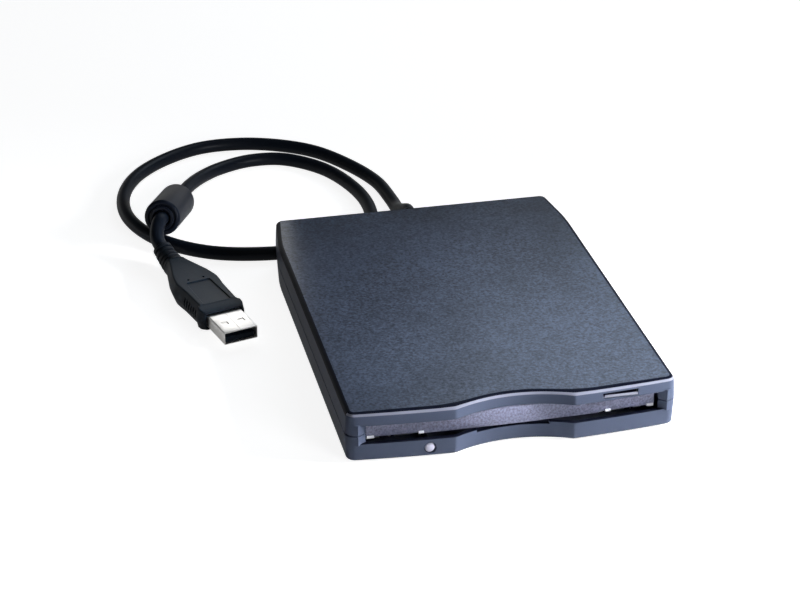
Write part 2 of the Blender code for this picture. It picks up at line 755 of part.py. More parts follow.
def pocket_outline(gap):
    """The button pocket's outline in the front wall, its lower left corner cut off."""
    left = BUTTON_LEFT + gap
    right = BUTTON_RIGHT - gap
    low = BUTTON_POCKET_BOTTOM + gap
    high = BUTTON_POCKET_TOP - gap
    return [(left + POCKET_CORNER, low), (right, low), (right, high), (left, high),
            (left, low + POCKET_CORNER)]


def make_top_shell(plastic):
    low = PARTING_HEIGHT + PARTING_GAP / 2
    levels = [(low, 0)] + edge_levels(HOUSING_TOP, TOP_EDGE_ROUND, 1, SHELL_DRAFT)
    solid = loft(shell_rings(levels, low, CEILING))
    pocket = prism(pocket_outline(0), FRONT - OVERRUN, FRONT + FRONT_BOW + WALL + OVERRUN, "Y")
    ears = []
    holes = []
    hinge = (FRONT + FLAP_SETBACK + FLAP_THICKNESS / 2, FLAP_HINGE_HEIGHT)
    for side in (-1, 1):
        near = side * (FLAP_WIDTH / 2 + SEAT_GAP)
        far = near + side * EAR_THICKNESS
        low_x, high_x = sorted((near, far))
        outline = arc(hinge, EAR_RADIUS, math.pi, math.tau, CORNER_STEPS)
        outline += [(hinge[0] + EAR_RADIUS, CEILING + WALL / 2),
                    (hinge[0] - EAR_RADIUS, CEILING + WALL / 2)]
        ears.append(prism(outline, low_x, high_x, "X"))
        radius = FLAP_PIN_RADIUS + SEAT_GAP
        holes.append(turned([(radius, low_x - OVERRUN), (radius, high_x + OVERRUN)], hinge, "X",
                            PIN_STEPS))
    bosses = []
    for x, y, top in screw_places()[-2:]:
        bosses.append(turned([(BOSS_RADIUS, INNER_FLOOR + SEAT_GAP), (BOSS_RADIUS, CEILING + WALL / 2)],
                             (x, y), "Z", PIN_STEPS))
        holes.append(turned(screw_profile(top, SEAT_GAP), (x, y), "Z", PIN_STEPS))
    solid = cut(solid, slot_cutter(), pocket, boot_cutter())
    return piece("top_shell", cut(joined(solid, *ears, *bosses), *holes), plastic)


def make_feet(rubber):
    top = FOOT_HEIGHT + FOOT_SEAT_DEPTH
    for words, x, y in foot_places():
        solid = turned([(FOOT_RADIUS - FOOT_EDGE, 0), (FOOT_RADIUS, FOOT_EDGE), (FOOT_RADIUS, top)],
                       (x, y))
        piece(f"foot_{words}", solid, rubber, pivot=(x, y, 0))


def make_screws(steel):
    names = ["chassis_screw_front_left", "chassis_screw_front_right", "chassis_screw_rear_left",
             "chassis_screw_rear_right", "housing_screw_left", "housing_screw_right"]
    for name, (x, y, top) in zip(names, screw_places()):
        solid = turned(screw_profile(top, 0), (x, y), "Z", PIN_STEPS)
        low = FOOT_HEIGHT + SCREW_SINK
        half = SCREW_SLOT_WIDTH / 2
        reach = SCREW_HEAD_RADIUS + OVERRUN
        slot = box(x - reach, x + reach, y - half, y + half, low - OVERRUN, low + SCREW_SLOT_DEPTH)
        piece(name, cut(solid, slot), steel, pivot=(x, y, low))


def make_light(clear_plastic, lamp_plastic):
    face = FRONT + LIGHT_SETBACK
    neck = face + LIGHT_HEAD_LENGTH
    end = FRONT + LIGHT_PIPE_END
    solid = turned([(LIGHT_RADIUS - BUTTON_EDGE, face), (LIGHT_RADIUS, face + BUTTON_EDGE),
                    (LIGHT_RADIUS, neck), (LIGHT_PIPE_RADIUS, neck), (LIGHT_PIPE_RADIUS, end)],
                   (LIGHT_PLACE, LIGHT_HEIGHT), "Y", PIN_STEPS)
    piece("status_light_lens", solid, clear_plastic)
    start = end + SEAT_GAP
    lamp = box(LIGHT_PLACE - LAMP_WIDTH / 2, LIGHT_PLACE + LAMP_WIDTH / 2, start,
               start + LAMP_LENGTH, LIGHT_HEIGHT - LAMP_HEIGHT / 2, LIGHT_HEIGHT + LAMP_HEIGHT / 2)
    piece("status_lamp", lamp, lamp_plastic)


# Slot flap, button and slider

def flap_bow(x):
    """Set-back of the flap's face behind its middle."""
    return FLAP_BOW * (2 * x / FLAP_WIDTH) ** 2


def make_flap(plastic, steel):
    half = FLAP_WIDTH / 2
    face = FRONT + FLAP_SETBACK
    pivot_y = face + FLAP_THICKNESS / 2
    places = [-half + FLAP_WIDTH * step / FLAP_STEPS for step in range(FLAP_STEPS + 1)]
    front = [(x, face + flap_bow(x)) for x in places]
    back = [(x, y + FLAP_THICKNESS) for x, y in reversed(front)]
    solid = prism(front + back, FLAP_BOTTOM, FLAP_HINGE_HEIGHT + FLAP_THICKNESS / 2)
    extras = []
    for place in [share * FLAP_WIDTH for share in FLAP_TOE_PLACE_SHARES]:
        y = face + flap_bow(place)
        extras.append(box(place - FLAP_TOE_WIDTH / 2, place + FLAP_TOE_WIDTH / 2, y - FLAP_TOE_DROP / 2,
                          y + FLAP_THICKNESS, FLAP_BOTTOM - FLAP_TOE_DROP, FLAP_BOTTOM + FLAP_TOE_DROP))
    for side in (-1, 1):
        inner = side * (half - FLAP_PIN_LENGTH)
        outer = side * (half + FLAP_PIN_LENGTH)
        low_x, high_x = sorted((inner, outer))
        extras.append(turned([(FLAP_PIN_RADIUS, low_x), (FLAP_PIN_RADIUS, high_x)],
                             (pivot_y, FLAP_HINGE_HEIGHT), "X", PIN_STEPS))
        web = sorted((inner, side * half))
        extras.append(box(*web, pivot_y - FLAP_PIN_RADIUS / 2, face + FLAP_BOW,
                          FLAP_HINGE_HEIGHT - FLAP_PIN_RADIUS / 2,
                          FLAP_HINGE_HEIGHT + FLAP_PIN_RADIUS / 2))
    pivot = (0, pivot_y, FLAP_HINGE_HEIGHT)
    piece("slot_flap", joined(solid, *extras), plastic, pivot=pivot)
    centre_y = FRONT + FLAP_SPRING_SETBACK
    points = [(FLAP_SPRING_PLACE, centre_y + FLAP_SPRING_RADIUS, CEILING - SEAT_GAP)]
    for step in range(FLAP_SPRING_TURNS * SPRING_POINTS_PER_TURN + 1):
        angle = math.tau * step / SPRING_POINTS_PER_TURN
        points.append((FLAP_SPRING_PLACE + FLAP_SPRING_PITCH * step / SPRING_POINTS_PER_TURN,
                       centre_y + FLAP_SPRING_RADIUS * math.cos(angle),
                       FLAP_SPRING_HEIGHT - FLAP_SPRING_RADIUS * math.sin(angle)))
    points.append((points[-1][0], face + FLAP_THICKNESS + SEAT_GAP + FLAP_SPRING_WIRE,
                   FLAP_HINGE_HEIGHT - FLAP_SPRING_LEG_DROP))
    wire("flap_spring", points, FLAP_SPRING_WIRE, steel)


def make_button(plastic):
    front = FRONT + BUTTON_SETBACK
    cap = prism(pocket_outline(SEAT_GAP), front, front + BUTTON_DEPTH, "Y")
    middle = (BUTTON_LEFT + BUTTON_RIGHT) / 2
    low = SLIDER_TOP + SEAT_GAP
    stem = box(middle - BUTTON_STEM_WIDTH / 2, middle + BUTTON_STEM_WIDTH / 2,
               front + BUTTON_DEPTH / 2, FRONT + BUTTON_STEM_END, low, low + BUTTON_STEM_THICKNESS)
    piece("eject_button", joined(cap, stem), plastic, pivot=(middle, front, SLIDER_TOP))


def slanted_slot(y, z, radius, run, drop):
    """Outline in (y, z) of a slot with round ends, from (y, z) back by run and down by drop."""
    lean = math.atan2(-drop, run)
    quarter = math.pi / 2
    return (arc((y, z), radius, lean + quarter, lean + 3 * quarter, CORNER_STEPS)
            + arc((y + run, z - drop), radius, lean - quarter, lean + quarter, CORNER_STEPS))


def make_slider(steel):
    front = FRONT + SLIDER_FRONT
    rear = FRONT + SLIDER_REAR
    solid = box(-SLIDER_OUTER, SLIDER_OUTER, front, rear, SLIDER_BOTTOM, SLIDER_TOP)
    strip = SLIDER_OUTER - SLIDER_STRIP_WIDTH
    window = box(-strip, strip, FRONT + SLIDER_BAR_REAR, rear + OVERRUN, SLIDER_BOTTOM - OVERRUN,
                 SLIDER_TOP + OVERRUN)
    extras = []
    for side in (-1, 1):
        flange = sorted((side * SLIDER_INNER, side * SLIDER_OUTER))
        extras.append(box(*flange, front, rear, SLIDER_FLANGE_BOTTOM, SLIDER_TOP))
        tab = sorted((side * (SLIDER_OUTER - SLIDER_TAB_WIDTH), side * SLIDER_OUTER))
        extras.append(box(*tab, rear - SLIDER_SHEET, rear, SLIDER_TAB_BOTTOM, SLIDER_TAB_TOP))
    cams = []
    for setback in HOLDER_PIN_SETBACKS:
        outline = slanted_slot(FRONT + setback, HOLDER_PIN_HEIGHT, HOLDER_PIN_RADIUS + SEAT_GAP,
                               EJECT_TRAVEL, DISK_DROP)
        cams.append(prism(outline, -SLIDER_OUTER - OVERRUN, -SLIDER_INNER + SEAT_GAP, "X"))
        cams.append(prism(outline, SLIDER_INNER - SEAT_GAP, SLIDER_OUTER + OVERRUN, "X"))
    solid = joined(cut(solid, window), *extras)
    piece("eject_slider", cut(solid, *cams), steel, pivot=(0, front, SLIDER_TOP))


def make_slider_springs(steel):
    start = FRONT + SLIDER_REAR + SEAT_GAP + SLIDER_SPRING_WIRE
    end = FRONT + CHASSIS_REAR - CHASSIS_SHEET - SEAT_GAP - SLIDER_SPRING_WIRE
    steps = SLIDER_SPRING_TURNS * SPRING_POINTS_PER_TURN
    for words, side in (("left", -1), ("right", 1)):
        points = []
        for step in range(steps + 1):
            angle = math.tau * step / SPRING_POINTS_PER_TURN
            points.append((side * SLIDER_SPRING_PLACE + SLIDER_SPRING_RADIUS * math.cos(angle),
                           start + (end - start) * step / steps,
                           SLIDER_SPRING_HEIGHT + SLIDER_SPRING_RADIUS * math.sin(angle)))
        wire(f"slider_spring_{words}", points, SLIDER_SPRING_WIRE, steel)


# Disk holder and shutter lever

def lever_slot_outline():
    """The arc that the lever's pin sweeps through the holder's top, with its clearance."""
    centre = (LEVER_PLACE, FRONT + LEVER_SETBACK)
    gap = LEVER_PIN_RADIUS + RUNNING_GAP
    spare = gap / LEVER_LENGTH
    start = LEVER_REST_ANGLE - spare
    end = LEVER_REST_ANGLE + LEVER_SWING + spare
    outer = arc(centre, LEVER_LENGTH + gap, start, end, ROUND_STEPS // 2)
    inner = arc(centre, LEVER_LENGTH - gap, end, start, ROUND_STEPS // 2)
    return outer + inner


def make_holder(steel):
    front = FRONT + HOLDER_FRONT
    rear = FRONT + HOLDER_REAR
    solid = box(-HOLDER_OUTER, HOLDER_OUTER, front, rear, HOLDER_CEILING, HOLDER_TOP)
    extras = []
    for side in (-1, 1):
        wall = sorted((side * HOLDER_INNER, side * HOLDER_OUTER))
        extras.append(box(*wall, front, rear, HOLDER_LIP_BOTTOM, HOLDER_TOP))
        lip = sorted((side * (HOLDER_INNER - HOLDER_LIP_WIDTH), side * HOLDER_OUTER))
        extras.append(box(*lip, FRONT + HOLDER_LIP_FRONT, rear, HOLDER_LIP_BOTTOM, HOLDER_SEAT))
        pin = sorted((side * (HOLDER_INNER + HOLDER_SHEET / 2), side * (CHASSIS_OUTER - SEAT_GAP)))
        for setback in HOLDER_PIN_SETBACKS:
            extras.append(turned([(HOLDER_PIN_RADIUS, pin[0]), (HOLDER_PIN_RADIUS, pin[1])],
                                 (FRONT + setback, HOLDER_PIN_HEIGHT), "X", PIN_STEPS))
    for place in HOLDER_RIB_PLACES:
        extras.append(box(place - HOLDER_RIB_WIDTH / 2, place + HOLDER_RIB_WIDTH / 2,
                          FRONT + HOLDER_RIB_FRONT, FRONT + HOLDER_RIB_REAR, HOLDER_CEILING,
                          HOLDER_TOP + HOLDER_RIB_HEIGHT))
    notch = box(-HOLDER_NOTCH_WIDTH / 2, HOLDER_NOTCH_WIDTH / 2, FRONT + HOLDER_NOTCH_FRONT,
                rear + OVERRUN, HOLDER_SEAT, HOLDER_TOP + OVERRUN)
    arc_slot = prism(lever_slot_outline(), HOLDER_CEILING - OVERRUN, HOLDER_TOP + OVERRUN)
    rivet_radius = RIVET_RADIUS + SEAT_GAP
    rivet = turned([(rivet_radius, HOLDER_CEILING - OVERRUN), (rivet_radius, HOLDER_TOP + OVERRUN)],
                   (LEVER_PLACE, FRONT + LEVER_SETBACK), "Z", PIN_STEPS)
    solid = cut(joined(solid, *extras), notch, arc_slot, rivet)
    return piece("disk_holder", solid, steel, pivot=(0, front, HOLDER_TOP))


def make_lever(steel, holder):
    pivot = Vector((LEVER_PLACE, FRONT + LEVER_SETBACK))
    tip = pivot + LEVER_LENGTH * Vector((math.cos(LEVER_REST_ANGLE), math.sin(LEVER_REST_ANGLE)))
    across = LEVER_REST_ANGLE + math.pi / 2
    outline = arc(pivot, LEVER_EYE_RADIUS, across, across + math.pi, ROUND_STEPS // 2)
    outline += arc(tip, LEVER_TIP_RADIUS, across - math.pi, across, ROUND_STEPS // 2)
    plate = prism(outline, LEVER_BOTTOM, LEVER_TOP)
    pin = turned([(LEVER_PIN_RADIUS, LEVER_PIN_BOTTOM), (LEVER_PIN_RADIUS, LEVER_TOP - LEVER_SHEET / 2)],
                 tuple(tip), "Z", PIN_STEPS)
    radius = RIVET_RADIUS + SEAT_GAP
    eye = turned([(radius, LEVER_BOTTOM - OVERRUN), (radius, LEVER_TOP + OVERRUN)], tuple(pivot),
                 "Z", PIN_STEPS)
    place = (pivot.x, pivot.y, LEVER_BOTTOM)
    piece("shutter_lever", cut(joined(plate, pin), eye), steel, pivot=place, parent=holder)
    head = LEVER_TOP + SEAT_GAP
    rivet = turned([(RIVET_RADIUS, HOLDER_CEILING), (RIVET_RADIUS, head), (RIVET_HEAD_RADIUS, head),
                    (RIVET_HEAD_RADIUS, head + RIVET_HEAD_HEIGHT)], tuple(pivot), "Z", PIN_STEPS)
    piece("lever_rivet", rivet, steel, pivot=place, parent=holder)
    height = LEVER_TOP + SEAT_GAP / 2 + LEVER_SPRING_WIRE
    start = LEVER_REST_ANGLE + math.pi / 2
    loop = arc(pivot, LEVER_SPRING_RADIUS, start, start + LEVER_SPRING_SWEEP, LEVER_SPRING_STEPS)
    first = Vector(loop[0]) + LEVER_SPRING_LEG * Vector((math.sin(start), -math.cos(start)))
    finish = start + LEVER_SPRING_SWEEP
    last = Vector(loop[-1]) + LEVER_SPRING_LEG * Vector((-math.sin(finish), math.cos(finish)))
    points = [(x, y, height) for x, y in [tuple(first), *loop, tuple(last)]]
    wire("lever_spring", points, LEVER_SPRING_WIRE, steel)


# Chassis and shield

def make_chassis(steel):
    front = FRONT + CHASSIS_FRONT
    rear = FRONT + CHASSIS_REAR
    outline = [(-CHASSIS_OUTER, CHASSIS_BOTTOM), (CHASSIS_OUTER, CHASSIS_BOTTOM),
               (CHASSIS_OUTER, CHASSIS_WALL_TOP), (CHASSIS_INNER, CHASSIS_WALL_TOP),
               (CHASSIS_INNER, CHASSIS_FLOOR), (-CHASSIS_INNER, CHASSIS_FLOOR),
               (-CHASSIS_INNER, CHASSIS_WALL_TOP), (-CHASSIS_OUTER, CHASSIS_WALL_TOP)]
    solid = prism(outline, front, rear, "Y")
    back_wall = box(-CHASSIS_OUTER, CHASSIS_OUTER, rear - CHASSIS_SHEET, rear, CHASSIS_BOTTOM,
                    CHASSIS_WALL_TOP)
    cuts = []
    radius = HOLDER_PIN_RADIUS + SEAT_GAP
    for setback in HOLDER_PIN_SETBACKS:
        y = FRONT + setback
        guide = (arc((y, HOLDER_PIN_HEIGHT), radius, 0, math.pi, CORNER_STEPS)
                 + arc((y, HOLDER_PIN_HEIGHT - DISK_DROP), radius, math.pi, math.tau, CORNER_STEPS))
        cuts.append(prism(guide, -CHASSIS_OUTER - OVERRUN, -CHASSIS_INNER + SEAT_GAP, "X"))
        cuts.append(prism(guide, CHASSIS_INNER - SEAT_GAP, CHASSIS_OUTER + OVERRUN, "X"))
    low = CHASSIS_BOTTOM - OVERRUN
    high = CHASSIS_FLOOR + SEAT_GAP
    for side in (-1, 1):
        across = sorted((side * CHASSIS_WINDOW_LEFT, side * CHASSIS_WINDOW_RIGHT))
        if side > 0:
            across[0] = SCREW_PLACE + BRACKET_HALF_WIDTH + STEPPER_RADIUS
        cuts.append(box(*across, FRONT + CHASSIS_WINDOW_FRONT, FRONT + CHASSIS_WINDOW_REAR, low, high))
    cuts.append(box(-CHASSIS_WINDOW_LEFT, CHASSIS_WINDOW_LEFT, FRONT + CHASSIS_LIGHTENING_FRONT,
                    FRONT + CHASSIS_LIGHTENING_REAR, low, high))
    for x, y, top in screw_places()[:-2]:
        cuts.append(turned(screw_profile(top, SEAT_GAP), (x, y), "Z", PIN_STEPS))
    half = RIBBON_WIDTH / 2 + SEAT_GAP
    cuts.append(box(RIBBON_PLACE - half, RIBBON_PLACE + half, rear - CHASSIS_SHEET - SEAT_GAP,
                    rear + OVERRUN, CHASSIS_FLOOR, CHASSIS_FLOOR + RIBBON_SLOT_HEIGHT))
    piece("chassis", cut(joined(solid, back_wall), *cuts), steel)


def make_shield(steel):
    solid = box(-CHASSIS_OUTER, CHASSIS_OUTER, FRONT + SHIELD_FRONT, FRONT + CHASSIS_REAR,
                SHIELD_BOTTOM, SHIELD_BOTTOM + SHIELD_SHEET)
    vent = box(-SHIELD_VENT_WIDTH / 2, SHIELD_VENT_WIDTH / 2, FRONT + SHIELD_VENT_FRONT,
               FRONT + SHIELD_VENT_REAR, SHIELD_BOTTOM - OVERRUN, SHIELD_BOTTOM + OVERRUN)
    piece("top_shield", cut(solid, vent), steel)


# Spindle motor

def make_spindle(board_green, iron, steel, magnet_black):
    centre = (0, FRONT + HUB_SETBACK)
    tongue = box(BOARD_TONGUE_LEFT, BOARD_TONGUE_RIGHT,
                 FRONT + LIGHT_PIPE_END + LAMP_LENGTH + 3 * SEAT_GAP, FRONT + BOARD_FRONT + OVERRUN,
                 BOARD_BOTTOM, BOARD_TOP)
    board = box(-BOARD_HALF_WIDTH, BOARD_HALF_WIDTH, FRONT + BOARD_FRONT, FRONT + BOARD_REAR,
                BOARD_BOTTOM, BOARD_TOP)
    piece("motor_board", joined(board, tongue), board_green)
    teeth = []
    for tooth in range(STATOR_TEETH):
        turn = Matrix.Rotation(math.tau * tooth / STATOR_TEETH, 4, "Z")
        spoke = box(STATOR_CORE_RADIUS - STATOR_SHOE_LENGTH, STATOR_RADIUS, -STATOR_TOOTH_WIDTH / 2,
                    STATOR_TOOTH_WIDTH / 2, STATOR_BOTTOM, STATOR_TOP)
        bmesh.ops.transform(spoke, matrix=Matrix.Translation((*centre, 0)) @ turn, verts=spoke.verts)
        teeth.append(spoke)
    core = turned([(STATOR_BORE_RADIUS, STATOR_BOTTOM), (STATOR_CORE_RADIUS, STATOR_BOTTOM),
                   (STATOR_CORE_RADIUS, STATOR_TOP), (STATOR_BORE_RADIUS, STATOR_TOP)], centre,
                  "Z", STATOR_TEETH * 2, bored=True)
    piece("motor_stator", joined(core, *teeth), iron)
    bore = SPINDLE_RADIUS + SEAT_GAP
    bearing = turned([(bore, STATOR_BOTTOM), (BEARING_RADIUS, STATOR_BOTTOM),
                      (BEARING_RADIUS, STATOR_TOP), (bore, STATOR_TOP)], centre, bored=True)
    piece("spindle_bearing", bearing, iron)
    pivot = (*centre, ROTOR_BOTTOM)
    rim = ROTOR_RADIUS - ROTOR_SHEET
    rotor = turned([(bore, ROTOR_BOTTOM), (rim, ROTOR_BOTTOM), (rim, ROTOR_RIM_BOTTOM),
                    (ROTOR_RADIUS, ROTOR_RIM_BOTTOM), (ROTOR_RADIUS, ROTOR_TOP), (bore, ROTOR_TOP)],
                   centre, bored=True)
    spindle = piece("spindle_rotor", rotor, steel, pivot=pivot)
    outer = rim - SEAT_GAP
    magnet = turned([(outer - MAGNET_THICKNESS, ROTOR_RIM_BOTTOM), (outer, ROTOR_RIM_BOTTOM),
                     (outer, ROTOR_BOTTOM - SEAT_GAP),
                     (outer - MAGNET_THICKNESS, ROTOR_BOTTOM - SEAT_GAP)], centre, bored=True)
    piece("rotor_magnet", magnet, magnet_black, pivot=pivot, parent=spindle)
    shaft = turned([(SPINDLE_RADIUS, STATOR_BOTTOM), (SPINDLE_RADIUS, SPINDLE_TOP - BUTTON_EDGE),
                    (SPINDLE_RADIUS - BUTTON_EDGE, SPINDLE_TOP)], centre, "Z", PIN_STEPS)
    piece("spindle_shaft", shaft, steel, pivot=pivot, parent=spindle)
    hub = turned([(bore, HUB_BOTTOM), (HUB_RADIUS - HUB_RIM / 2, HUB_BOTTOM), (HUB_RADIUS, HUB_BOTTOM),
                  (HUB_RADIUS, HUB_TOP), (bore, HUB_TOP)], centre, bored=True)
    piece("hub_plate", hub, magnet_black, pivot=pivot, parent=spindle)
    pin_place = (centre[0] + DRIVE_PIN_PLACE, centre[1])
    low = HUB_TOP + SEAT_GAP
    pin = turned([(DRIVE_PIN_RADIUS, low), (DRIVE_PIN_RADIUS, low + DRIVE_PIN_HEIGHT)], pin_place,
                 "Z", PIN_STEPS)
    piece("drive_pin", pin, steel, pivot=pivot, parent=spindle)


# Head carriage, stepper motor and lead screw

def make_carriage(plastic, steel, ceramic):
    deck_low, deck_high = CARRIAGE_BOTTOM, CARRIAGE_DECK
    deck = box(CARRIAGE_LEFT, CARRIAGE_RIGHT, FRONT + CARRIAGE_FRONT, FRONT + CARRIAGE_REAR,
               deck_low, deck_high)
    wing = box(CARRIAGE_WING_LEFT, CARRIAGE_LEFT + OVERRUN, FRONT + CARRIAGE_WING_FRONT,
               FRONT + CARRIAGE_WING_REAR, deck_low, deck_high)
    block = box(CARRIAGE_LEFT, CARRIAGE_RIGHT, FRONT + CARRIAGE_BLOCK_FRONT, FRONT + CARRIAGE_REAR,
                deck_low, CARRIAGE_BLOCK_TOP)
    follower = box(CARRIAGE_RIGHT - OVERRUN, FOLLOWER_REACH, FRONT + FOLLOWER_FRONT,
                   FRONT + FOLLOWER_FRONT + FOLLOWER_THICKNESS, FOLLOWER_BOTTOM, FOLLOWER_TOP)
    arm_web = box(CARRIAGE_RIGHT - OVERRUN, CARRIAGE_RIGHT + FOLLOWER_THICKNESS,
                  FRONT + FOLLOWER_FRONT, FRONT + FOLLOWER_FRONT + FOLLOWER_THICKNESS,
                  deck_low, FOLLOWER_TOP)
    half = ROD_RADIUS + SEAT_GAP
    groove = box(ROD_PLACE - half, ROD_PLACE + half, FRONT + CARRIAGE_WING_FRONT - OVERRUN,
                 FRONT + CARRIAGE_WING_REAR + OVERRUN, deck_low - OVERRUN, ROD_HEIGHT + half)
    grip = SCREW_RADIUS + SEAT_GAP
    fork = box(SCREW_PLACE - grip, FOLLOWER_REACH + OVERRUN, FRONT + FOLLOWER_FRONT - OVERRUN,
               FRONT + FOLLOWER_FRONT + FOLLOWER_THICKNESS + OVERRUN, SCREW_HEIGHT - grip,
               SCREW_HEIGHT + grip)
    rest = (0, FRONT + HEAD_SETBACK, CARRIAGE_DECK)
    solid = cut(joined(deck, wing, block, follower, arm_web), groove, fork)
    carriage = piece("head_carriage", solid, plastic, pivot=rest)
    y = FRONT + HEAD_SETBACK
    half = HEAD_LENGTH / 2
    lower = box(-HEAD_HALF_WIDTH, HEAD_HALF_WIDTH, y - half, y + half, CARRIAGE_DECK + SEAT_GAP,
                LOWER_HEAD_TOP)
    piece("lower_head", lower, ceramic, pivot=rest, parent=carriage)
    pivot = (0, FRONT + ARM_PIVOT_SETBACK, (ARM_BOTTOM + ARM_TOP) / 2)
    raised = (Matrix.Translation(pivot) @ Matrix.Rotation(-ARM_REST_ANGLE, 4, "X")
              @ Matrix.Translation(-Vector(pivot)))
    outline = [(-ARM_TIP_WIDTH / 2, FRONT + ARM_FRONT), (ARM_TIP_WIDTH / 2, FRONT + ARM_FRONT),
               (ARM_WIDTH / 2, FRONT + (ARM_FRONT + ARM_REAR) / 2), (ARM_WIDTH / 2, FRONT + ARM_REAR),
               (-ARM_WIDTH / 2, FRONT + ARM_REAR), (-ARM_WIDTH / 2, FRONT + (ARM_FRONT + ARM_REAR) / 2)]
    arm = prism(outline, ARM_BOTTOM, ARM_TOP)
    upper = box(-HEAD_HALF_WIDTH, HEAD_HALF_WIDTH, y - half, y + half, UPPER_HEAD_BOTTOM,
                UPPER_HEAD_TOP)
    for solid in (arm, upper):
        bmesh.ops.transform(solid, matrix=raised, verts=solid.verts)
    piece("upper_head_arm", arm, plastic, pivot=pivot, parent=carriage)
    piece("upper_head", upper, ceramic, pivot=pivot, parent=carriage)
    centre = (ROD_PLACE, ROD_HEIGHT)
    rod = turned([(ROD_RADIUS, FRONT + ROD_FRONT), (ROD_RADIUS, FRONT + ROD_REAR)], centre, "Y",
                 PIN_STEPS)
    piece("guide_rod", rod, steel)
    clamp_half = CLAMP_WIDTH / 2
    channel = ROD_RADIUS + SEAT_GAP
    for words, start in (("front", ROD_FRONT - SEAT_GAP), ("rear", ROD_REAR - CLAMP_LENGTH)):
        low_y = FRONT + start
        high_y = low_y + CLAMP_LENGTH
        clamp = box(ROD_PLACE - clamp_half, ROD_PLACE + clamp_half, low_y, high_y,
                    CHASSIS_FLOOR + SEAT_GAP, CLAMP_TOP)
        path = box(ROD_PLACE - channel, ROD_PLACE + channel, low_y - OVERRUN, high_y + OVERRUN,
                   CHASSIS_FLOOR, ROD_HEIGHT + channel)
        piece(f"rod_clamp_{words}", cut(clamp, path), plastic)


def make_stepper(steel, iron):
    centre = (SCREW_PLACE, SCREW_HEIGHT)
    motor = turned([(STEPPER_RADIUS, FRONT + STEPPER_FRONT), (STEPPER_RADIUS, FRONT + STEPPER_REAR)],
                   centre, "Y")
    piece("stepper_motor", motor, steel)
    start = FRONT + SCREW_FRONT
    end = FRONT + SCREW_REAR
    thread_start = FRONT + BRACKET_FRONT + BRACKET_SHEET + SEAT_GAP
    turns = int((end - thread_start) / (SCREW_LEAD / 2))
    profile = [(SCREW_JOURNAL_RADIUS, start), (SCREW_JOURNAL_RADIUS, thread_start)]
    for turn in range(turns):
        low = thread_start + (end - thread_start) * turn / turns
        profile += [(SCREW_RADIUS - SCREW_THREAD_DEPTH, low),
                    (SCREW_RADIUS, low + (end - thread_start) / turns / 2)]
    profile.append((SCREW_RADIUS - SCREW_THREAD_DEPTH, end))
    screw = turned(profile, centre, "Y", PIN_STEPS)
    piece("lead_screw", screw, iron, pivot=(SCREW_PLACE, end, SCREW_HEIGHT))
    low = CHASSIS_FLOOR + SEAT_GAP
    half = BRACKET_HALF_WIDTH
    foot = box(SCREW_PLACE - half, SCREW_PLACE + half, FRONT + BRACKET_FRONT,
               FRONT + STEPPER_FRONT - SEAT_GAP, low, low + BRACKET_SHEET)
    tab = box(SCREW_PLACE - half, SCREW_PLACE + half, FRONT + BRACKET_FRONT,
              FRONT + BRACKET_FRONT + BRACKET_SHEET, low, BRACKET_TOP)
    radius = SCREW_JOURNAL_RADIUS + SEAT_GAP
    hole = turned([(radius, start - OVERRUN), (radius, thread_start + OVERRUN)], centre, "Y", PIN_STEPS)
    piece("stepper_bracket", cut(joined(foot, tab), hole), steel)


# Interface board

def make_interface(board_green, chip_black, socket_white, ribbon_white):
    board = box(-INTERFACE_HALF_WIDTH, INTERFACE_HALF_WIDTH, FRONT + INTERFACE_FRONT,
                FRONT + INTERFACE_REAR, INTERFACE_BOTTOM, INTERFACE_TOP)
    piece("interface_board", board, board_green)
    middle = FRONT + (INTERFACE_FRONT + INTERFACE_REAR) / 2
    low = INTERFACE_TOP + SEAT_GAP
    half = CHIP_SIZE / 2
    piece("interface_chip", box(CHIP_PLACE - half, CHIP_PLACE + half, middle - half, middle + half, low,
                                low + CHIP_HEIGHT), chip_black)
    piece("cord_socket", box(SOCKET_PLACE - SOCKET_WIDTH / 2, SOCKET_PLACE + SOCKET_WIDTH / 2,
                             middle - SOCKET_LENGTH / 2, middle + SOCKET_LENGTH / 2, low,
                             low + SOCKET_HEIGHT), socket_white)
    step_y = FRONT + (CHASSIS_REAR + INTERFACE_FRONT) / 2
    lower = CHASSIS_FLOOR + SEAT_GAP
    path = [(FRONT + RIBBON_FRONT, lower), (step_y - RIBBON_THICKNESS, lower)]
    path += [(step_y - RIBBON_THICKNESS, low), (FRONT + INTERFACE_FRONT + RIBBON_LAP, low)]
    thick = RIBBON_THICKNESS
    back = [(path[3][0], low + thick), (path[2][0] - thick, low + thick),
            (path[1][0] - thick, lower + thick), (path[0][0], lower + thick)]
    ribbon = prism(path + back, RIBBON_PLACE - RIBBON_WIDTH / 2, RIBBON_PLACE + RIBBON_WIDTH / 2, "X")
    piece("flat_cable", ribbon, ribbon_white)


# Cord and plug

def smooth_route(points, spacing):
    """Even points of a smooth curve through hand-set points, its two end stretches kept straight."""
    spots = [Vector(point) for point in points]
    fine = []
    for a, b, c, d in zip(spots, spots[1:], spots[2:], spots[3:]):
        knots = [0.0]
        for first, second in ((a, b), (b, c), (c, d)):
            knots.append(knots[-1] + math.sqrt((second - first).length))
        for step in range(CABLE_FINE_STEPS):
            t = knots[1] + (knots[2] - knots[1]) * step / CABLE_FINE_STEPS
            fine.append(catmull(t, knots, (a, b, c, d)))
    fine.append(spots[-2])
    length = route_length(fine)
    count = max(2, round(length / spacing))
    even = [fine[0]]
    travelled = 0.0
    for first, second in zip(fine, fine[1:]):
        stride = (second - first).length
        while len(even) < count and travelled + stride >= length * len(even) / count:
            share = (length * len(even) / count - travelled) / stride
            even.append(first.lerp(second, share))
        travelled += stride
    return [spots[0], *even, spots[-2], spots[-1]]


def route_length(points):
    """Length along points."""
    return sum((second - first).length for first, second in zip(points, points[1:]))


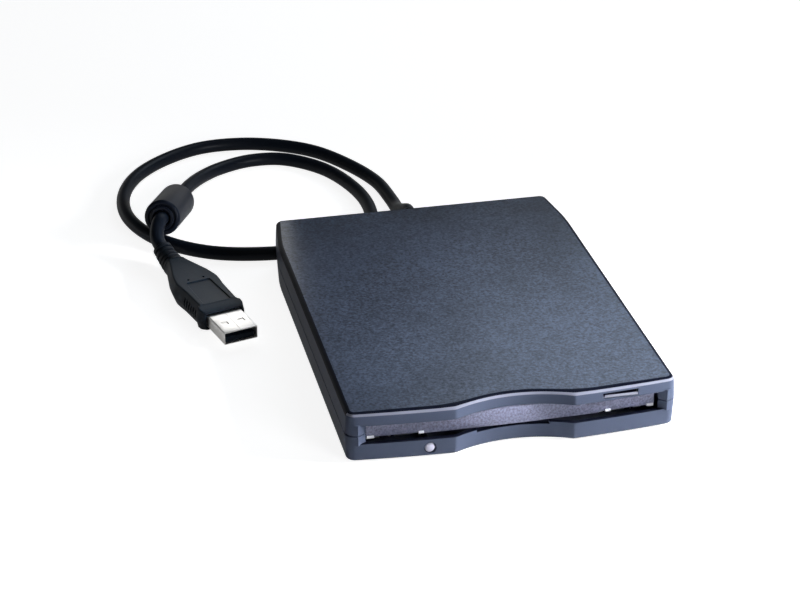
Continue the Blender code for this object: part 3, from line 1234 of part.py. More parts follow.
def catmull(t, knots, spots):
    """Point of a centripetal Catmull-Rom curve."""
    level = list(spots)
    for width in (1, 2, 3):
        following = []
        for index in range(len(level) - 1):
            if width == 3:
                low, high = knots[1], knots[2]
            elif width == 2:
                low, high = knots[index], knots[index + 2]
            else:
                low, high = knots[index], knots[index + 1]
            share = (t - low) / (high - low)
            following.append(level[index].lerp(level[index + 1], share))
        level = following
    return level[0]


def turned_between(profile, start, end, steps):
    """A turned solid along the line from start to end; its places are distances from the start."""
    solid = turned(profile, (0, 0), "Z", steps)
    direction = Vector(end) - Vector(start)
    turn = direction.to_track_quat("Z", "Y").to_matrix().to_4x4()
    bmesh.ops.transform(solid, matrix=Matrix.Translation(start) @ turn, verts=solid.verts)
    return solid


def make_cord(rubber, black_plastic, cable_black):
    neck_start = REAR - WALL - SEAT_GAP
    flange_start = neck_start - BOOT_FLANGE_LENGTH
    collar_start = REAR + SEAT_GAP
    end = REAR + BOOT_LENGTH
    profile = [(BOOT_FLANGE_RADIUS, flange_start), (BOOT_FLANGE_RADIUS, neck_start),
               (BOOT_NECK_RADIUS, neck_start), (BOOT_NECK_RADIUS, collar_start),
               (BOOT_COLLAR_RADIUS, collar_start), (BOOT_COLLAR_RADIUS, collar_start + OVERRUN),
               (BOOT_TIP_RADIUS, end)]
    boot = turned(profile, (BOOT_PLACE, PARTING_HEIGHT), "Y", BOOT_STEPS)
    piece("cable_boot", boot, rubber)
    exit_point = (BOOT_PLACE, end + SEAT_GAP, PARTING_HEIGHT)
    straight = (BOOT_PLACE, end + SEAT_GAP + CABLE_RADIUS, PARTING_HEIGHT)
    rear = Vector(BEAD_REAR)
    front = Vector(BEAD_FRONT)
    axis = (front - rear).normalized()
    before = rear - axis * SEAT_GAP
    route = [exit_point, straight, *CABLE_ROUTE, before - axis * (2 * CABLE_RADIUS), before]
    points = smooth_route(route, CABLE_STEP)
    print(f"cable from boot to bead {route_length(points):.4f} m, {len(points)} points")
    wire("usb_cable", points, CABLE_RADIUS, cable_black, CABLE_FACETS)
    span = (front - rear).length
    profile = [(BEAD_COLLAR_RADIUS, 0), (BEAD_COLLAR_RADIUS, BEAD_COLLAR_LENGTH),
               (BEAD_RADIUS - BEAD_EDGE, BEAD_COLLAR_LENGTH),
               (BEAD_RADIUS, BEAD_COLLAR_LENGTH + BEAD_EDGE)]
    profile += [(radius, span - along) for radius, along in reversed(profile)]
    piece("ferrite_bead", turned_between(profile, BEAD_REAR, BEAD_FRONT, BEAD_STEPS), black_plastic)
    after = front + axis * SEAT_GAP
    _, bend, relief_rear = relief_curve()
    entry = (bend - relief_rear).normalized()
    last = relief_rear - entry * SEAT_GAP
    end_route = [after, after + axis * CABLE_RADIUS, *CABLE_END_ROUTE, last - entry * CABLE_RADIUS, last]
    end_points = smooth_route(end_route, CABLE_RADIUS)
    print(f"cable from bead to plug {route_length(end_points):.4f} m, {len(end_points)} points")
    wire("usb_cable_end", end_points, CABLE_RADIUS, cable_black, CABLE_FACETS)


def plug_matrix():
    """Places the plug, built with its mould's front at the origin and its shell towards -Y."""
    return Matrix.Translation((*PLUG_PLACE, 0)) @ Matrix.Rotation(PLUG_TURN, 4, "Z")


def plug_point(x, y, z):
    """A point of the plug's own frame in the drive's frame."""
    return plug_matrix() @ Vector((x, y, z))


def relief_curve():
    """Start, bend and end of the relief's centre line, which leaves the mould square to it."""
    start = plug_point(0, PLUG_LENGTH + SEAT_GAP, PLUG_HEIGHT / 2)
    end = Vector(RELIEF_END)
    reach = (end - start).length / 2
    return start, plug_point(0, PLUG_LENGTH + SEAT_GAP + reach, PLUG_HEIGHT / 2), end


def bent(profile, start, bend, end, steps):
    """A turned solid bent along a curve; its profile's points are (radius, share of the curve)."""
    rings = []
    for radius, share in profile:
        spot = start.lerp(bend, share).lerp(bend.lerp(end, share), share)
        heading = (bend - start).lerp(end - bend, share)
        turn = heading.to_track_quat("Z", "Y")
        rings.append([spot + turn @ Vector((x, y, 0)) for x, y in circle(radius, steps)])
    return loft(rings)


def plug_section(width, height, y):
    """Ring of the mould at y: a rectangle with bevelled corners."""
    half = width / 2
    low = (PLUG_HEIGHT - height) / 2
    high = low + height
    bevel = PLUG_BEVEL
    return [(half - bevel, y, low), (half, y, low + bevel), (half, y, high - bevel),
            (half - bevel, y, high), (-half + bevel, y, high), (-half, y, high - bevel),
            (-half, y, low + bevel), (-half + bevel, y, low)]


def make_plug(rubber, black_plastic, nickel):
    rings = [plug_section(PLUG_WIDTH * width, PLUG_HEIGHT * height, PLUG_LENGTH * place)
             for place, width, height in PLUG_SECTION_SHARES]
    mould = loft(rings)
    panel_rear = PANEL_FRONT + PANEL_LENGTH
    panel = [(-PANEL_FRONT_WIDTH / 2, PANEL_FRONT), (PANEL_FRONT_WIDTH / 2, PANEL_FRONT),
             (PANEL_REAR_WIDTH / 2, panel_rear), (-PANEL_REAR_WIDTH / 2, panel_rear)]
    cuts = [prism(panel, PLUG_HEIGHT - PANEL_DEPTH, PLUG_HEIGHT + OVERRUN)]
    low = (PLUG_HEIGHT - GRIP_HEIGHT) / 2
    for side in (-1, 1):
        cuts.append(turned([(DIMPLE_RADIUS, PLUG_HEIGHT - PANEL_DEPTH), (DIMPLE_RADIUS, PLUG_HEIGHT + OVERRUN)],
                           (side * DIMPLE_SPREAD / 2, DIMPLE_SETBACK), "Z", DIMPLE_STEPS))
        across = sorted((side * (PLUG_WIDTH * PLUG_SECTION_SHARES[3][1] / 2 - GRIP_DEPTH),
                         side * (PLUG_WIDTH / 2 + OVERRUN)))
        for rib in range(GRIP_RIBS):
            start = GRIP_FRONT + GRIP_PITCH * rib
            cuts.append(box(*across, start, start + GRIP_WIDTH, low, low + GRIP_HEIGHT))
    middle = PLUG_HEIGHT / 2
    half_width = USB_WIDTH / 2 + SEAT_GAP
    half_height = USB_HEIGHT / 2 + SEAT_GAP
    cuts.append(box(-half_width, half_width, -OVERRUN, USB_ROOT + SEAT_GAP, middle - half_height,
                    middle + half_height))
    solid = cut(mould, *cuts)
    bmesh.ops.transform(solid, matrix=plug_matrix(), verts=solid.verts)
    piece("plug_body", solid, black_plastic)

    half_width = USB_WIDTH / 2
    half_height = USB_HEIGHT / 2
    shell = box(-half_width, half_width, -USB_REACH, USB_ROOT, middle - half_height,
                middle + half_height)
    inner_width = half_width - USB_SHEET
    inner_height = half_height - USB_SHEET
    hollow = box(-inner_width, inner_width, -USB_REACH - OVERRUN, USB_ROOT - USB_SHEET,
                 middle - inner_height, middle + inner_height)
    cuts = [hollow]
    for side in (-1, 1):
        x = side * USB_LATCH_SPREAD / 2
        start = USB_LATCH_SETBACK - USB_REACH
        cuts.append(box(x - USB_LATCH / 2, x + USB_LATCH / 2, start, start + USB_LATCH, -OVERRUN,
                        PLUG_HEIGHT + OVERRUN))
    solid = cut(shell, *cuts)
    bmesh.ops.transform(solid, matrix=plug_matrix(), verts=solid.verts)
    piece("plug_shell", solid, nickel)

    low = middle - inner_height + SEAT_GAP
    tongue = box(-TONGUE_WIDTH / 2, TONGUE_WIDTH / 2, TONGUE_SETBACK - USB_REACH,
                 USB_ROOT - USB_SHEET - SEAT_GAP, low, low + TONGUE_HEIGHT - SEAT_GAP)
    bmesh.ops.transform(tongue, matrix=plug_matrix(), verts=tongue.verts)
    piece("plug_tongue", tongue, black_plastic)

    profile = []
    for rib in range(RELIEF_RIBS):
        low = rib / RELIEF_RIBS
        radius = RELIEF_RADIUS + (RELIEF_TIP_RADIUS - RELIEF_RADIUS) * low
        groove = (rib + RELIEF_RIB_SHARE) / RELIEF_RIBS
        profile += [(radius, low), (radius, groove), (radius - RELIEF_GROOVE, groove),
                    (radius - RELIEF_GROOVE, (rib + 1) / RELIEF_RIBS)]
    piece("plug_relief", bent(profile, *relief_curve(), RELIEF_STEPS), rubber)


def main():
    clear_scene()
    plastic = finish_material("housing_plastic", (0.055, 0.062, 0.078), 0.55)
    flap_plastic = finish_material("flap_plastic", (0.075, 0.075, 0.095), 0.5)
    button_plastic = finish_material("button_plastic", (0.20, 0.21, 0.26), 0.45)
    clear_plastic = finish_material("lens_plastic", (0.72, 0.70, 0.85), 0.15)
    rubber = finish_material("black_rubber", (0.02, 0.02, 0.022), 0.75)
    cable_black = finish_material("cable_black", (0.012, 0.013, 0.018), 0.4)
    black_plastic = finish_material("black_plastic", (0.016, 0.018, 0.024), 0.4)
    nickel = finish_material("bright_nickel", (0.86, 0.84, 0.81), 0.18, 1.0)
    steel = finish_material("zinc_steel", (0.62, 0.63, 0.64), 0.32, 1.0)
    iron = finish_material("dark_iron", (0.25, 0.24, 0.24), 0.4, 1.0)
    magnet_black = finish_material("magnet_black", (0.04, 0.04, 0.045), 0.5)
    board_green = finish_material("board_green", (0.03, 0.14, 0.07), 0.45)
    chip_black = finish_material("chip_black", (0.02, 0.02, 0.02), 0.5)
    white_plastic = finish_material("white_plastic", (0.75, 0.75, 0.72), 0.5)
    ceramic = finish_material("head_ceramic", (0.55, 0.50, 0.42), 0.3)

    make_bottom_shell(plastic)
    make_top_shell(plastic)
    make_feet(rubber)
    make_screws(steel)
    make_light(clear_plastic, white_plastic)
    make_flap(flap_plastic, steel)
    make_button(button_plastic)
    make_slider(steel)
    make_slider_springs(steel)
    holder = make_holder(steel)
    make_lever(steel, holder)
    make_chassis(steel)
    make_shield(steel)
    make_spindle(board_green, iron, steel, magnet_black)
    make_carriage(white_plastic, steel, ceramic)
    make_stepper(steel, iron)
    make_interface(board_green, chip_black, white_plastic, white_plastic)
    make_cord(rubber, black_plastic, cable_black)
    make_plug(rubber, black_plastic, nickel)


main()
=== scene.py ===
"""Looks of the external floppy disk drive: its camera, cord, dressed pieces, materials, stage and lights."""

import json
import math

import bmesh
import bpy
from mathutils import Matrix, Vector


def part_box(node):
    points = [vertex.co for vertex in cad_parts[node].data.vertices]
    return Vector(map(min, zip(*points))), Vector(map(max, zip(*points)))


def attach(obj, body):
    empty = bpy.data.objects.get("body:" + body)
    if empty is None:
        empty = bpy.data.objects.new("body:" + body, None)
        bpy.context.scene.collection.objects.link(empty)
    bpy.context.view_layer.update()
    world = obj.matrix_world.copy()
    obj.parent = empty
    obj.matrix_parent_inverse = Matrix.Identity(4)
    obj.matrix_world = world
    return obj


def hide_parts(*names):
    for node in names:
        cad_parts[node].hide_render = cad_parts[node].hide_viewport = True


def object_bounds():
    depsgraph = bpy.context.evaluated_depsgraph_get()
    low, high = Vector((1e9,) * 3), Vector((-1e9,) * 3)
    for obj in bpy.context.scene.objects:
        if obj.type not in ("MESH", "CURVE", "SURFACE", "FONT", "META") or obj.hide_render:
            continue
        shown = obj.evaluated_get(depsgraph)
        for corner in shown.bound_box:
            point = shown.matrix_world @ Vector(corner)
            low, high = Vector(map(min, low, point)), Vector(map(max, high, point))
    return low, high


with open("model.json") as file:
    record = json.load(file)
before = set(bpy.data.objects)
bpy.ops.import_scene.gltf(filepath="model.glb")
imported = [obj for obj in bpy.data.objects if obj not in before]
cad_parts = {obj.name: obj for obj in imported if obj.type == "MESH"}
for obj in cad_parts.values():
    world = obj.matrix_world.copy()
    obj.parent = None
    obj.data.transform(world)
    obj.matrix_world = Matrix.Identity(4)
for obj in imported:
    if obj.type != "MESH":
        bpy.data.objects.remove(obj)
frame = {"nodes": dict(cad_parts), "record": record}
nodes = frame["nodes"]
scene = bpy.context.scene
cad_low, cad_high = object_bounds()


def link(name, data, body="housing", slot=None, replaces=()):
    """A new piece on a body."""
    made = bpy.data.objects.new(name, data)
    scene.collection.objects.link(made)
    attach(made, body)
    if replaces:
        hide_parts(*replaces)
    return made


# Main sizes of the drive, in metres and in the frame of the CAD

FRONT = -0.07124
DEPTH = 0.142
REAR = FRONT + DEPTH
WIDTH = 0.104
TOP = 0.0171
FOOT = 0.0008
WALL = 0.0015
PARTING = 0.0096

# Clearance between pieces, and how far a cutter reaches past what it cuts
GAP = 0.0003
OVERRUN = 0.002


# Shapes in mesh code

def arc(centre, radius, start, end, steps):
    angles = [start + (end - start) * step / steps for step in range(steps + 1)]
    return [(centre[0] + radius * math.cos(a), centre[1] + radius * math.sin(a)) for a in angles]


def rounded(corners):
    """Closed outline through corners (x, y, radius, steps), each rounded to its radius."""
    points = []
    for index, (x, y, radius, steps) in enumerate(corners):
        if not radius:
            points.append((x, y))
            continue
        corner = Vector((x, y))
        before = (Vector(corners[index - 1][:2]) - corner).normalized()
        after = (Vector(corners[(index + 1) % len(corners)][:2]) - corner).normalized()
        half = before.angle(after) / 2
        centre = corner + (before + after).normalized() * (radius / math.sin(half))
        first = corner + before * (radius / math.tan(half)) - centre
        last = corner + after * (radius / math.tan(half)) - centre
        start = math.atan2(first.y, first.x)
        turn = (math.atan2(last.y, last.x) - start + math.pi) % math.tau - math.pi
        points += arc(centre, radius, start, start + turn, steps)
    return points


def inset(outline, distance):
    """A counter-clockwise outline moved inwards by a distance."""
    moved = []
    for index, point in enumerate(outline):
        spot = Vector(point)
        before = (spot - Vector(outline[index - 1])).normalized()
        after = (Vector(outline[(index + 1) % len(outline)]) - spot).normalized()
        inward = Vector((-before.y - after.y, before.x + after.x)).normalized()
        moved.append(tuple(spot + inward * (distance / inward.dot(Vector((-before.y, before.x))))))
    return moved


def loft(rings, closed=False):
    """A solid skinned over rings of points."""
    made = bmesh.new()
    rows = [[made.verts.new(point) for point in ring] for ring in rings]
    count = len(rows[0])
    pairs = list(zip(rows, rows[1:]))
    if closed:
        pairs.append((rows[-1], rows[0]))
    for first, second in pairs:
        for index in range(count):
            following = (index + 1) % count
            made.faces.new((first[index], first[following], second[following], second[index]))
    if not closed:
        made.faces.new(list(reversed(rows[0])))
        made.faces.new(rows[-1])
    bmesh.ops.recalc_face_normals(made, faces=made.faces)
    return made


AXES = {"X": lambda u, v, w: (w, u, v), "Y": lambda u, v, w: (u, w, v), "Z": lambda u, v, w: (u, v, w)}


def prism(outline, low, high, axis="Z"):
    return loft([[AXES[axis](u, v, w) for u, v in outline] for w in (low, high)])


def circle(radius, steps, centre=(0, 0)):
    return [(centre[0] + radius * math.cos(math.tau * step / steps),
             centre[1] + radius * math.sin(math.tau * step / steps)) for step in range(steps)]


def turned(profile, centre, axis="Z", steps=48):
    """A turned solid; its profile's points are (radius, place along the axis)."""
    return loft([[AXES[axis](u, v, along) for u, v in circle(radius, steps, centre)] for radius, along in profile])


def rod(radius, low, high, centre, axis, steps):
    return turned([(radius, low), (radius, high)], centre, axis, steps)


def box(x_low, x_high, y_low, y_high, z_low, z_high):
    return prism([(x_low, y_low), (x_high, y_low), (x_high, y_high), (x_low, y_high)], z_low, z_high)


def temporary(solid):
    mesh = bpy.data.meshes.new("work")
    solid.to_mesh(mesh)
    solid.free()
    made = bpy.data.objects.new("work", mesh)
    scene.collection.objects.link(made)
    return made


def combined(solid, others, operation):
    """The solid with others joined to it or cut from it."""
    base = temporary(solid)
    tools = [temporary(other) for other in others]
    for tool in tools:
        step = base.modifiers.new("step", "BOOLEAN")
        step.operation = operation
        step.solver = "EXACT"
        step.object = tool
    found = bpy.data.meshes.new_from_object(base.evaluated_get(bpy.context.evaluated_depsgraph_get()))
    made = bmesh.new()
    made.from_mesh(found)
    bpy.data.meshes.remove(found)
    for old in [base, *tools]:
        mesh = old.data
        bpy.data.objects.remove(old)
        bpy.data.meshes.remove(mesh)
    return made


def finished(name, solid, materials, choose=None, sharp=35, **how):
    """A piece from a solid: smooth but for its sharp edges, with a material for each face."""
    bmesh.ops.remove_doubles(solid, verts=solid.verts, dist=0.000002)
    bmesh.ops.dissolve_degenerate(solid, edges=solid.edges, dist=0.000001)
    for face in solid.faces:
        face.smooth = True
        face.material_index = choose(face) if choose else 0
    for edge in solid.edges:
        edge.smooth = len(edge.link_faces) == 2 and edge.calc_face_angle() < math.radians(sharp)
    mesh = bpy.data.meshes.new(name)
    solid.to_mesh(mesh)
    solid.free()
    for material in materials:
        mesh.materials.append(material)
    return link(name, mesh, **how)


def tube(points, radii, steps=28, caps=True):
    """A tube along points with a radius at each, its rings carried along without twist."""
    rings = []
    heading = (points[1] - points[0]).normalized()
    side = heading.cross(Vector((0, 0, 1)))
    side = (side if side.length > 0.01 else heading.cross(Vector((0, 1, 0)))).normalized()
    for index, point in enumerate(points):
        before = points[max(0, index - 1)]
        after = points[min(len(points) - 1, index + 1)]
        heading = (after - before).normalized()
        side = (side - heading * side.dot(heading)).normalized()
        above = heading.cross(side)
        rings.append([point + radii[index] * (math.cos(a) * side + math.sin(a) * above)
                      for a in [math.tau * step / steps for step in range(steps)]])
    return loft(rings)


# Camera, fitted to the photograph

AZIMUTH = math.radians(-12.6787)
ELEVATION = math.radians(27.4755)
ROLL = math.radians(-0.0561)
CAMERA_PLACE = (-0.160080, -0.622482, 0.349453)
SENSOR_WIDTH = 36
LENS = 98.926


def make_camera():
    back = Vector((math.sin(AZIMUTH) * math.cos(ELEVATION), -math.cos(AZIMUTH) * math.cos(ELEVATION),
                   math.sin(ELEVATION)))
    right = Vector((math.cos(AZIMUTH), math.sin(AZIMUTH), 0))
    up = back.cross(right)
    across = math.cos(ROLL) * right + math.sin(ROLL) * up
    above = math.cos(ROLL) * up - math.sin(ROLL) * right
    turn = Matrix((across, above, back)).transposed()
    data = bpy.data.cameras.new("camera")
    data.sensor_width = SENSOR_WIDTH
    data.lens = LENS
    data.clip_start = 0.01
    data.clip_end = 50
    camera = bpy.data.objects.new("camera", data)
    scene.collection.objects.link(camera)
    camera.matrix_world = Matrix.Translation(CAMERA_PLACE) @ turn.to_4x4()
    scene.camera = camera


# Cord: the route of the CAD model, through the bead and on into the relief

CABLE_RADIUS = 0.0025
CABLE_ROUTE = (
    (0.0015, 0.0860, 0.0086), (0.0015, 0.0925, 0.0056), (0.0014, 0.1000, 0.0030),
    (0.0011, 0.1090, 0.0025), (-0.0010, 0.1260, 0.0025), (-0.0082, 0.1437, 0.0025),
    (-0.0186, 0.1593, 0.0025), (-0.0307, 0.1681, 0.0025), (-0.0455, 0.1732, 0.0025),
    (-0.0618, 0.1727, 0.0025), (-0.0771, 0.1644, 0.0025), (-0.0897, 0.1508, 0.0025),
    (-0.0966, 0.1329, 0.0025), (-0.0965, 0.1132, 0.0025), (-0.0878, 0.0934, 0.0025),
    (-0.0713, 0.0793, 0.0025), (-0.0493, 0.0737, 0.0025), (-0.0330, 0.0750, 0.0025),
    (-0.0195, 0.0800, 0.0025), (-0.0112, 0.0892, 0.0025), (-0.0084, 0.1052, 0.0025),
    (-0.0108, 0.1237, 0.0025), (-0.0190, 0.1430, 0.0025), (-0.0325, 0.1550, 0.0025),
    (-0.0450, 0.1562, 0.0025), (-0.0568, 0.1512, 0.0027), (-0.0652, 0.1432, 0.0035),
    (-0.0722, 0.1323, 0.0047),
)
BEAD_REAR = Vector((-0.0780, 0.1175, 0.0065))
BEAD_FRONT = Vector((-0.0872, 0.0904, 0.0124))
CABLE_END_ROUTE = ((-0.0890, 0.0866, 0.0114), (-0.0898, 0.0838, 0.0098))
RELIEF_END = Vector((-0.0891, 0.0791, 0.0070))
BOOT_PLACE = 0.0015
EXIT = (BOOT_PLACE, REAR + 0.0103, PARTING)
BEYOND_EXIT = (BOOT_PLACE, REAR + 0.0128, PARTING)
CORD_STEPS = 300


def catmull(t, knots, spots):
    level = list(spots)
    for width in (1, 2, 3):
        following = []
        for index in range(len(level) - 1):
            if width == 3:
                low, high = knots[1], knots[2]
            elif width == 2:
                low, high = knots[index], knots[index + 2]
            else:
                low, high = knots[index], knots[index + 1]
            following.append(level[index].lerp(level[index + 1], (t - low) / (high - low)))
        level = following
    return level[0]


def smooth_route(points, steps=12):
    """Points of a centripetal Catmull-Rom curve through the route, its two end stretches kept straight."""
    spots = [Vector(point) for point in points]
    fine = [spots[0]]
    for a, b, c, d in zip(spots, spots[1:], spots[2:], spots[3:]):
        knots = [0.0]
        for first, second in ((a, b), (b, c), (c, d)):
            knots.append(knots[-1] + math.sqrt((second - first).length))
        for step in range(steps):
            fine.append(catmull(knots[1] + (knots[2] - knots[1]) * step / steps, knots, (a, b, c, d)))
    return fine + [spots[-2], spots[-1]]


def length_of(points):
    return sum((second - first).length for first, second in zip(points, points[1:]))


def even(points, count):
    """The same line as count + 1 points at even distances."""
    total = length_of(points)
    found = [points[0]]
    travelled = 0.0
    for first, second in zip(points, points[1:]):
        stride = (second - first).length
        while len(found) < count and travelled + stride >= total * len(found) / count:
            share = (total * len(found) / count - travelled) / stride
            found.append(first.lerp(second, share))
        travelled += stride
    return found + [points[-1]]


def make_cord():
    axis = (BEAD_FRONT - BEAD_REAR).normalized()
    before = BEAD_REAR - axis * GAP
    first = smooth_route([EXIT, BEYOND_EXIT, *CABLE_ROUTE, before - axis * (2 * CABLE_RADIUS), before])
    after = BEAD_FRONT + axis * GAP
    entry = (relief_line()[1] - RELIEF_END).normalized()
    second = smooth_route([after, after + axis * CABLE_RADIUS, *CABLE_END_ROUTE,
                           RELIEF_END - entry * CABLE_RADIUS, RELIEF_END])
    points = even(first + second, CORD_STEPS)
    cord = finished("cord", tube(points, [CABLE_RADIUS] * len(points)), [cable_black], slot="cable_black",
                    replaces=("usb_cable", "usb_cable_end"))
    make_bead()
    make_relief()
    make_mould()
    make_can()
    make_tongue()


# Frame of the USB plug, which the relief leads to

PLUG_TURN = math.radians(14.8)
PLUG_WIDTH = 0.0174
PLUG_LENGTH = 0.0425
PLUG_HEIGHT = 0.0080
PLUG_MIDDLE = PLUG_HEIGHT / 2
PLUG_MATRIX = Matrix.Translation((-0.0746, 0.0260, 0)) @ Matrix.Rotation(PLUG_TURN, 4, "Z")


def relief_line():
    """Start, bend and end of the relief's centre line."""
    rear = PLUG_LENGTH + GAP
    start = PLUG_MATRIX @ Vector((0, rear, PLUG_MIDDLE))
    reach = (RELIEF_END - start).length / 2
    return start, PLUG_MATRIX @ Vector((0, rear + reach, PLUG_MIDDLE)), RELIEF_END


# Housing

RECESS_WIDTH = 0.037
RECESS_DEPTH = 0.0046
RECESS_END_RADIUS = 0.003
FRONT_BOW = 0.003
FRONT_CORNER_RADIUS = 0.0032
TAPER = 0.0026
TAPER_LENGTH = 0.020
TAPER_RADIUS = 0.080
REAR_CORNER_RADIUS = 0.003
DRAFT = 0.00035
TOP_ROUND = 0.0015
BASE_ROUND = 0.0008
ROUND_STEPS = 9
SEAM = 0.00015
INNER_FRONT = FRONT + RECESS_DEPTH + WALL + OVERRUN
SLOT_TOP = 0.01295
SLOT_BOTTOM = 0.0067
NOTCH_HALF = 0.0115
NOTCH_DEPTH = 0.0008
CHEEK_FRONT = FRONT + 0.0023
CHEEK_BACK = FRONT + 0.0041
LIGHT_SPOT = (-0.0266, 0.00375)
LIGHT_HOLE = (LIGHT_SPOT[0] + 0.0002, LIGHT_SPOT[1] - 0.0001)
LIGHT_END = FRONT + 0.0096

# Softened front line of the top: its spread, its step back, and where it fades out to the sides
SOFT_SPREAD = 0.007
SOFT_SAMPLES = 8
SOFT_STEP = 0.0006
SOFT_LIMIT = 0.049
SOFT_FADE = 0.014
SOFT_BAND = FRONT + 0.0055

FLAP_WIDTH = 0.0908
FLAP_FACE = FRONT + 0.0046
FLAP_THICKNESS = 0.0008
FLAP_BOTTOM = 0.0066
FLAP_TOP = 0.0127
FLAP_BOW = 0.0007
HINGE = (FRONT + 0.0050, 0.0121)

SCREWS = ([(side * 0.041, FRONT + setback, 0.0042) for setback in (0.0245, 0.112) for side in (-1, 1)]
          + [(side * 0.043, REAR - 0.0075, 0.0120) for side in (-1, 1)])
FEET = {f"foot_{end}_{name}": (side * 0.042, y) for end, y in (("front", FRONT + 0.014), ("rear", REAR - 0.016))
        for name, side in (("left", -1), ("right", 1))}


def front_bow(x):
    radius = ((WIDTH / 2) ** 2 + FRONT_BOW ** 2) / (2 * FRONT_BOW)
    return radius - math.sqrt(radius ** 2 - x ** 2)


def recess_bow(x):
    half = RECESS_WIDTH / 2
    rise = RECESS_DEPTH - front_bow(half)
    radius = (half ** 2 + rise ** 2) / (2 * rise)
    return RECESS_DEPTH - radius + math.sqrt(radius ** 2 - x ** 2)


def front_line(x):
    return recess_bow(x) if abs(x) <= RECESS_WIDTH / 2 else front_bow(x)


def edge_setback(x):
    """How much further back than the wall the top's front line runs: a soft line across the recess's ends."""
    half = WIDTH / 2
    near = [min(max(x + SOFT_SPREAD * step / SOFT_SAMPLES, -half), half)
            for step in range(-SOFT_SAMPLES, SOFT_SAMPLES + 1)]
    line = sum(front_line(place_x) for place_x in near) / len(near)
    fade = min(1.0, max(0.0, (SOFT_LIMIT - abs(x)) / SOFT_FADE))
    return (line + SOFT_STEP - front_line(x)) * fade


def housing_outline():
    """The housing's outline from above, from the middle of its front round to the right and back."""
    half = WIDTH / 2
    edge = RECESS_WIDTH / 2
    recess = [edge * step / 20 for step in range(19)]
    wing = [edge + (half - edge) * step / 16 for step in range(2, 13)]
    right = [(x, recess_bow(x), 0, 0) for x in recess]
    right.append((edge, front_bow(edge), RECESS_END_RADIUS, 8))
    right += [(x, front_bow(x), 0, 0) for x in wing]
    right += [(half, FRONT_BOW, FRONT_CORNER_RADIUS, 12), (half, DEPTH - TAPER_LENGTH, TAPER_RADIUS, 10),
              (half - TAPER, DEPTH, REAR_CORNER_RADIUS, 10)]
    left = [(-x, y, radius, steps) for x, y, radius, steps in reversed(right) if x > 0]
    return [(x, y + FRONT) for x, y in rounded(right + left)]


def shell(levels, low, high, soften=False):
    """One half of the housing: its wall's inside from high to low, then its outside over (height, inset) levels."""
    outline = housing_outline()
    inside = inset(outline, WALL)
    rings = [[(x, y, height) for x, y in inside] for height in (high, low)]
    for height, distance in levels:
        softness = max(0.0, (distance - DRAFT) / TOP_ROUND) if soften else 0.0
        ring = []
        for (x, y), (x_out, y_out) in zip(inset(outline, distance), outline):
            setback = softness * edge_setback(x_out) if y_out < SOFT_BAND else 0.0
            ring.append((x, y + setback, height))
        rings.append(ring)
    return loft(rings)


def seam_levels(height, direction):
    """The seam's small chamfer: direction is 1 for the lid and -1 for the tray."""
    return [(height, 0.00025), (height + direction * 0.0002, 0.00002)]


def edge_levels(height, radius, direction):
    turns = [math.pi / 2 * step / ROUND_STEPS for step in range(ROUND_STEPS + 1)]
    return [(height - direction * radius * (1 - math.sin(turn)), DRAFT + radius * (1 - math.cos(turn)))
            for turn in turns]


def cheek_line(side):
    """Inner and outer end of the slot's slanted cheek, the right one a little further out."""
    inner = FLAP_WIDTH / 2 + (0.0009 if side > 0 else 0.0003)
    return inner, inner + (0.0024 if side > 0 else 0.0027)


def cheek(side, low, high):
    """Slanted wall of the slot's flared mouth, behind the front wall."""
    inner, mouth = cheek_line(side)
    plan = [(mouth, CHEEK_FRONT), (inner, CHEEK_BACK), (inner + 0.0007, CHEEK_BACK + 0.0003),
            (mouth + 0.0010, FRONT + 0.0034), (mouth + 0.0010, FRONT + 0.0028)]
    return prism([(side * x, y) for x, y in (plan if side > 0 else reversed(plan))], low, high)


def slot_cutter():
    plan = []
    for side in (-1, 1):
        inner, mouth = cheek_line(side)
        half = [(side * inner, INNER_FRONT), (side * inner, CHEEK_BACK), (side * mouth, CHEEK_FRONT),
                (side * mouth, FRONT - OVERRUN)]
        plan += half if side < 0 else reversed(half)
    return prism(plan, SLOT_BOTTOM, SLOT_TOP)


def boot_cutter():
    return rod(0.0036, REAR - WALL - OVERRUN, REAR + OVERRUN, (BOOT_PLACE, PARTING), "Y", 40)


def screw_cutter(x, y, top):
    """Space for a countersunk screw, from under the base up to its end."""
    bottom = FOOT + 0.0001
    profile = [(0.0021 + GAP, bottom - 0.001), (0.0021 + GAP, bottom + GAP), (0.0010 + GAP, bottom + 0.001 + GAP),
               (0.0010 + GAP, top + GAP)]
    return turned(profile, (x, y), "Z", 32)


# The lid's materials, and how far under its top its edge, the dark band of painted shade and the light band of
# painted highlight reach
GRAINED, SMOOTH, PAINTED_SHADE, PAINTED_HIGHLIGHT = range(4)
LID_EDGE = 0.0016
PAINTED_SHADE_BAND = 0.00042
PAINTED_HIGHLIGHT_BAND = 0.0010


def lid_tone(face):
    """Grained top, a dark edge band of painted shade, a light rim of painted highlight under the edge's front, and
    smooth walls.
    """
    depth = TOP - face.calc_center_median().z
    if depth > LID_EDGE or face.normal.z < 0.06:
        return SMOOTH
    if face.normal.z > 0.999:
        return GRAINED
    # Painted shade on the rounding's upper band and along the sides, painted highlight on the band below it at the
    # front
    if depth < PAINTED_SHADE_BAND or face.normal.y > -0.2:
        return PAINTED_SHADE
    return PAINTED_HIGHLIGHT if depth < PAINTED_HIGHLIGHT_BAND else SMOOTH


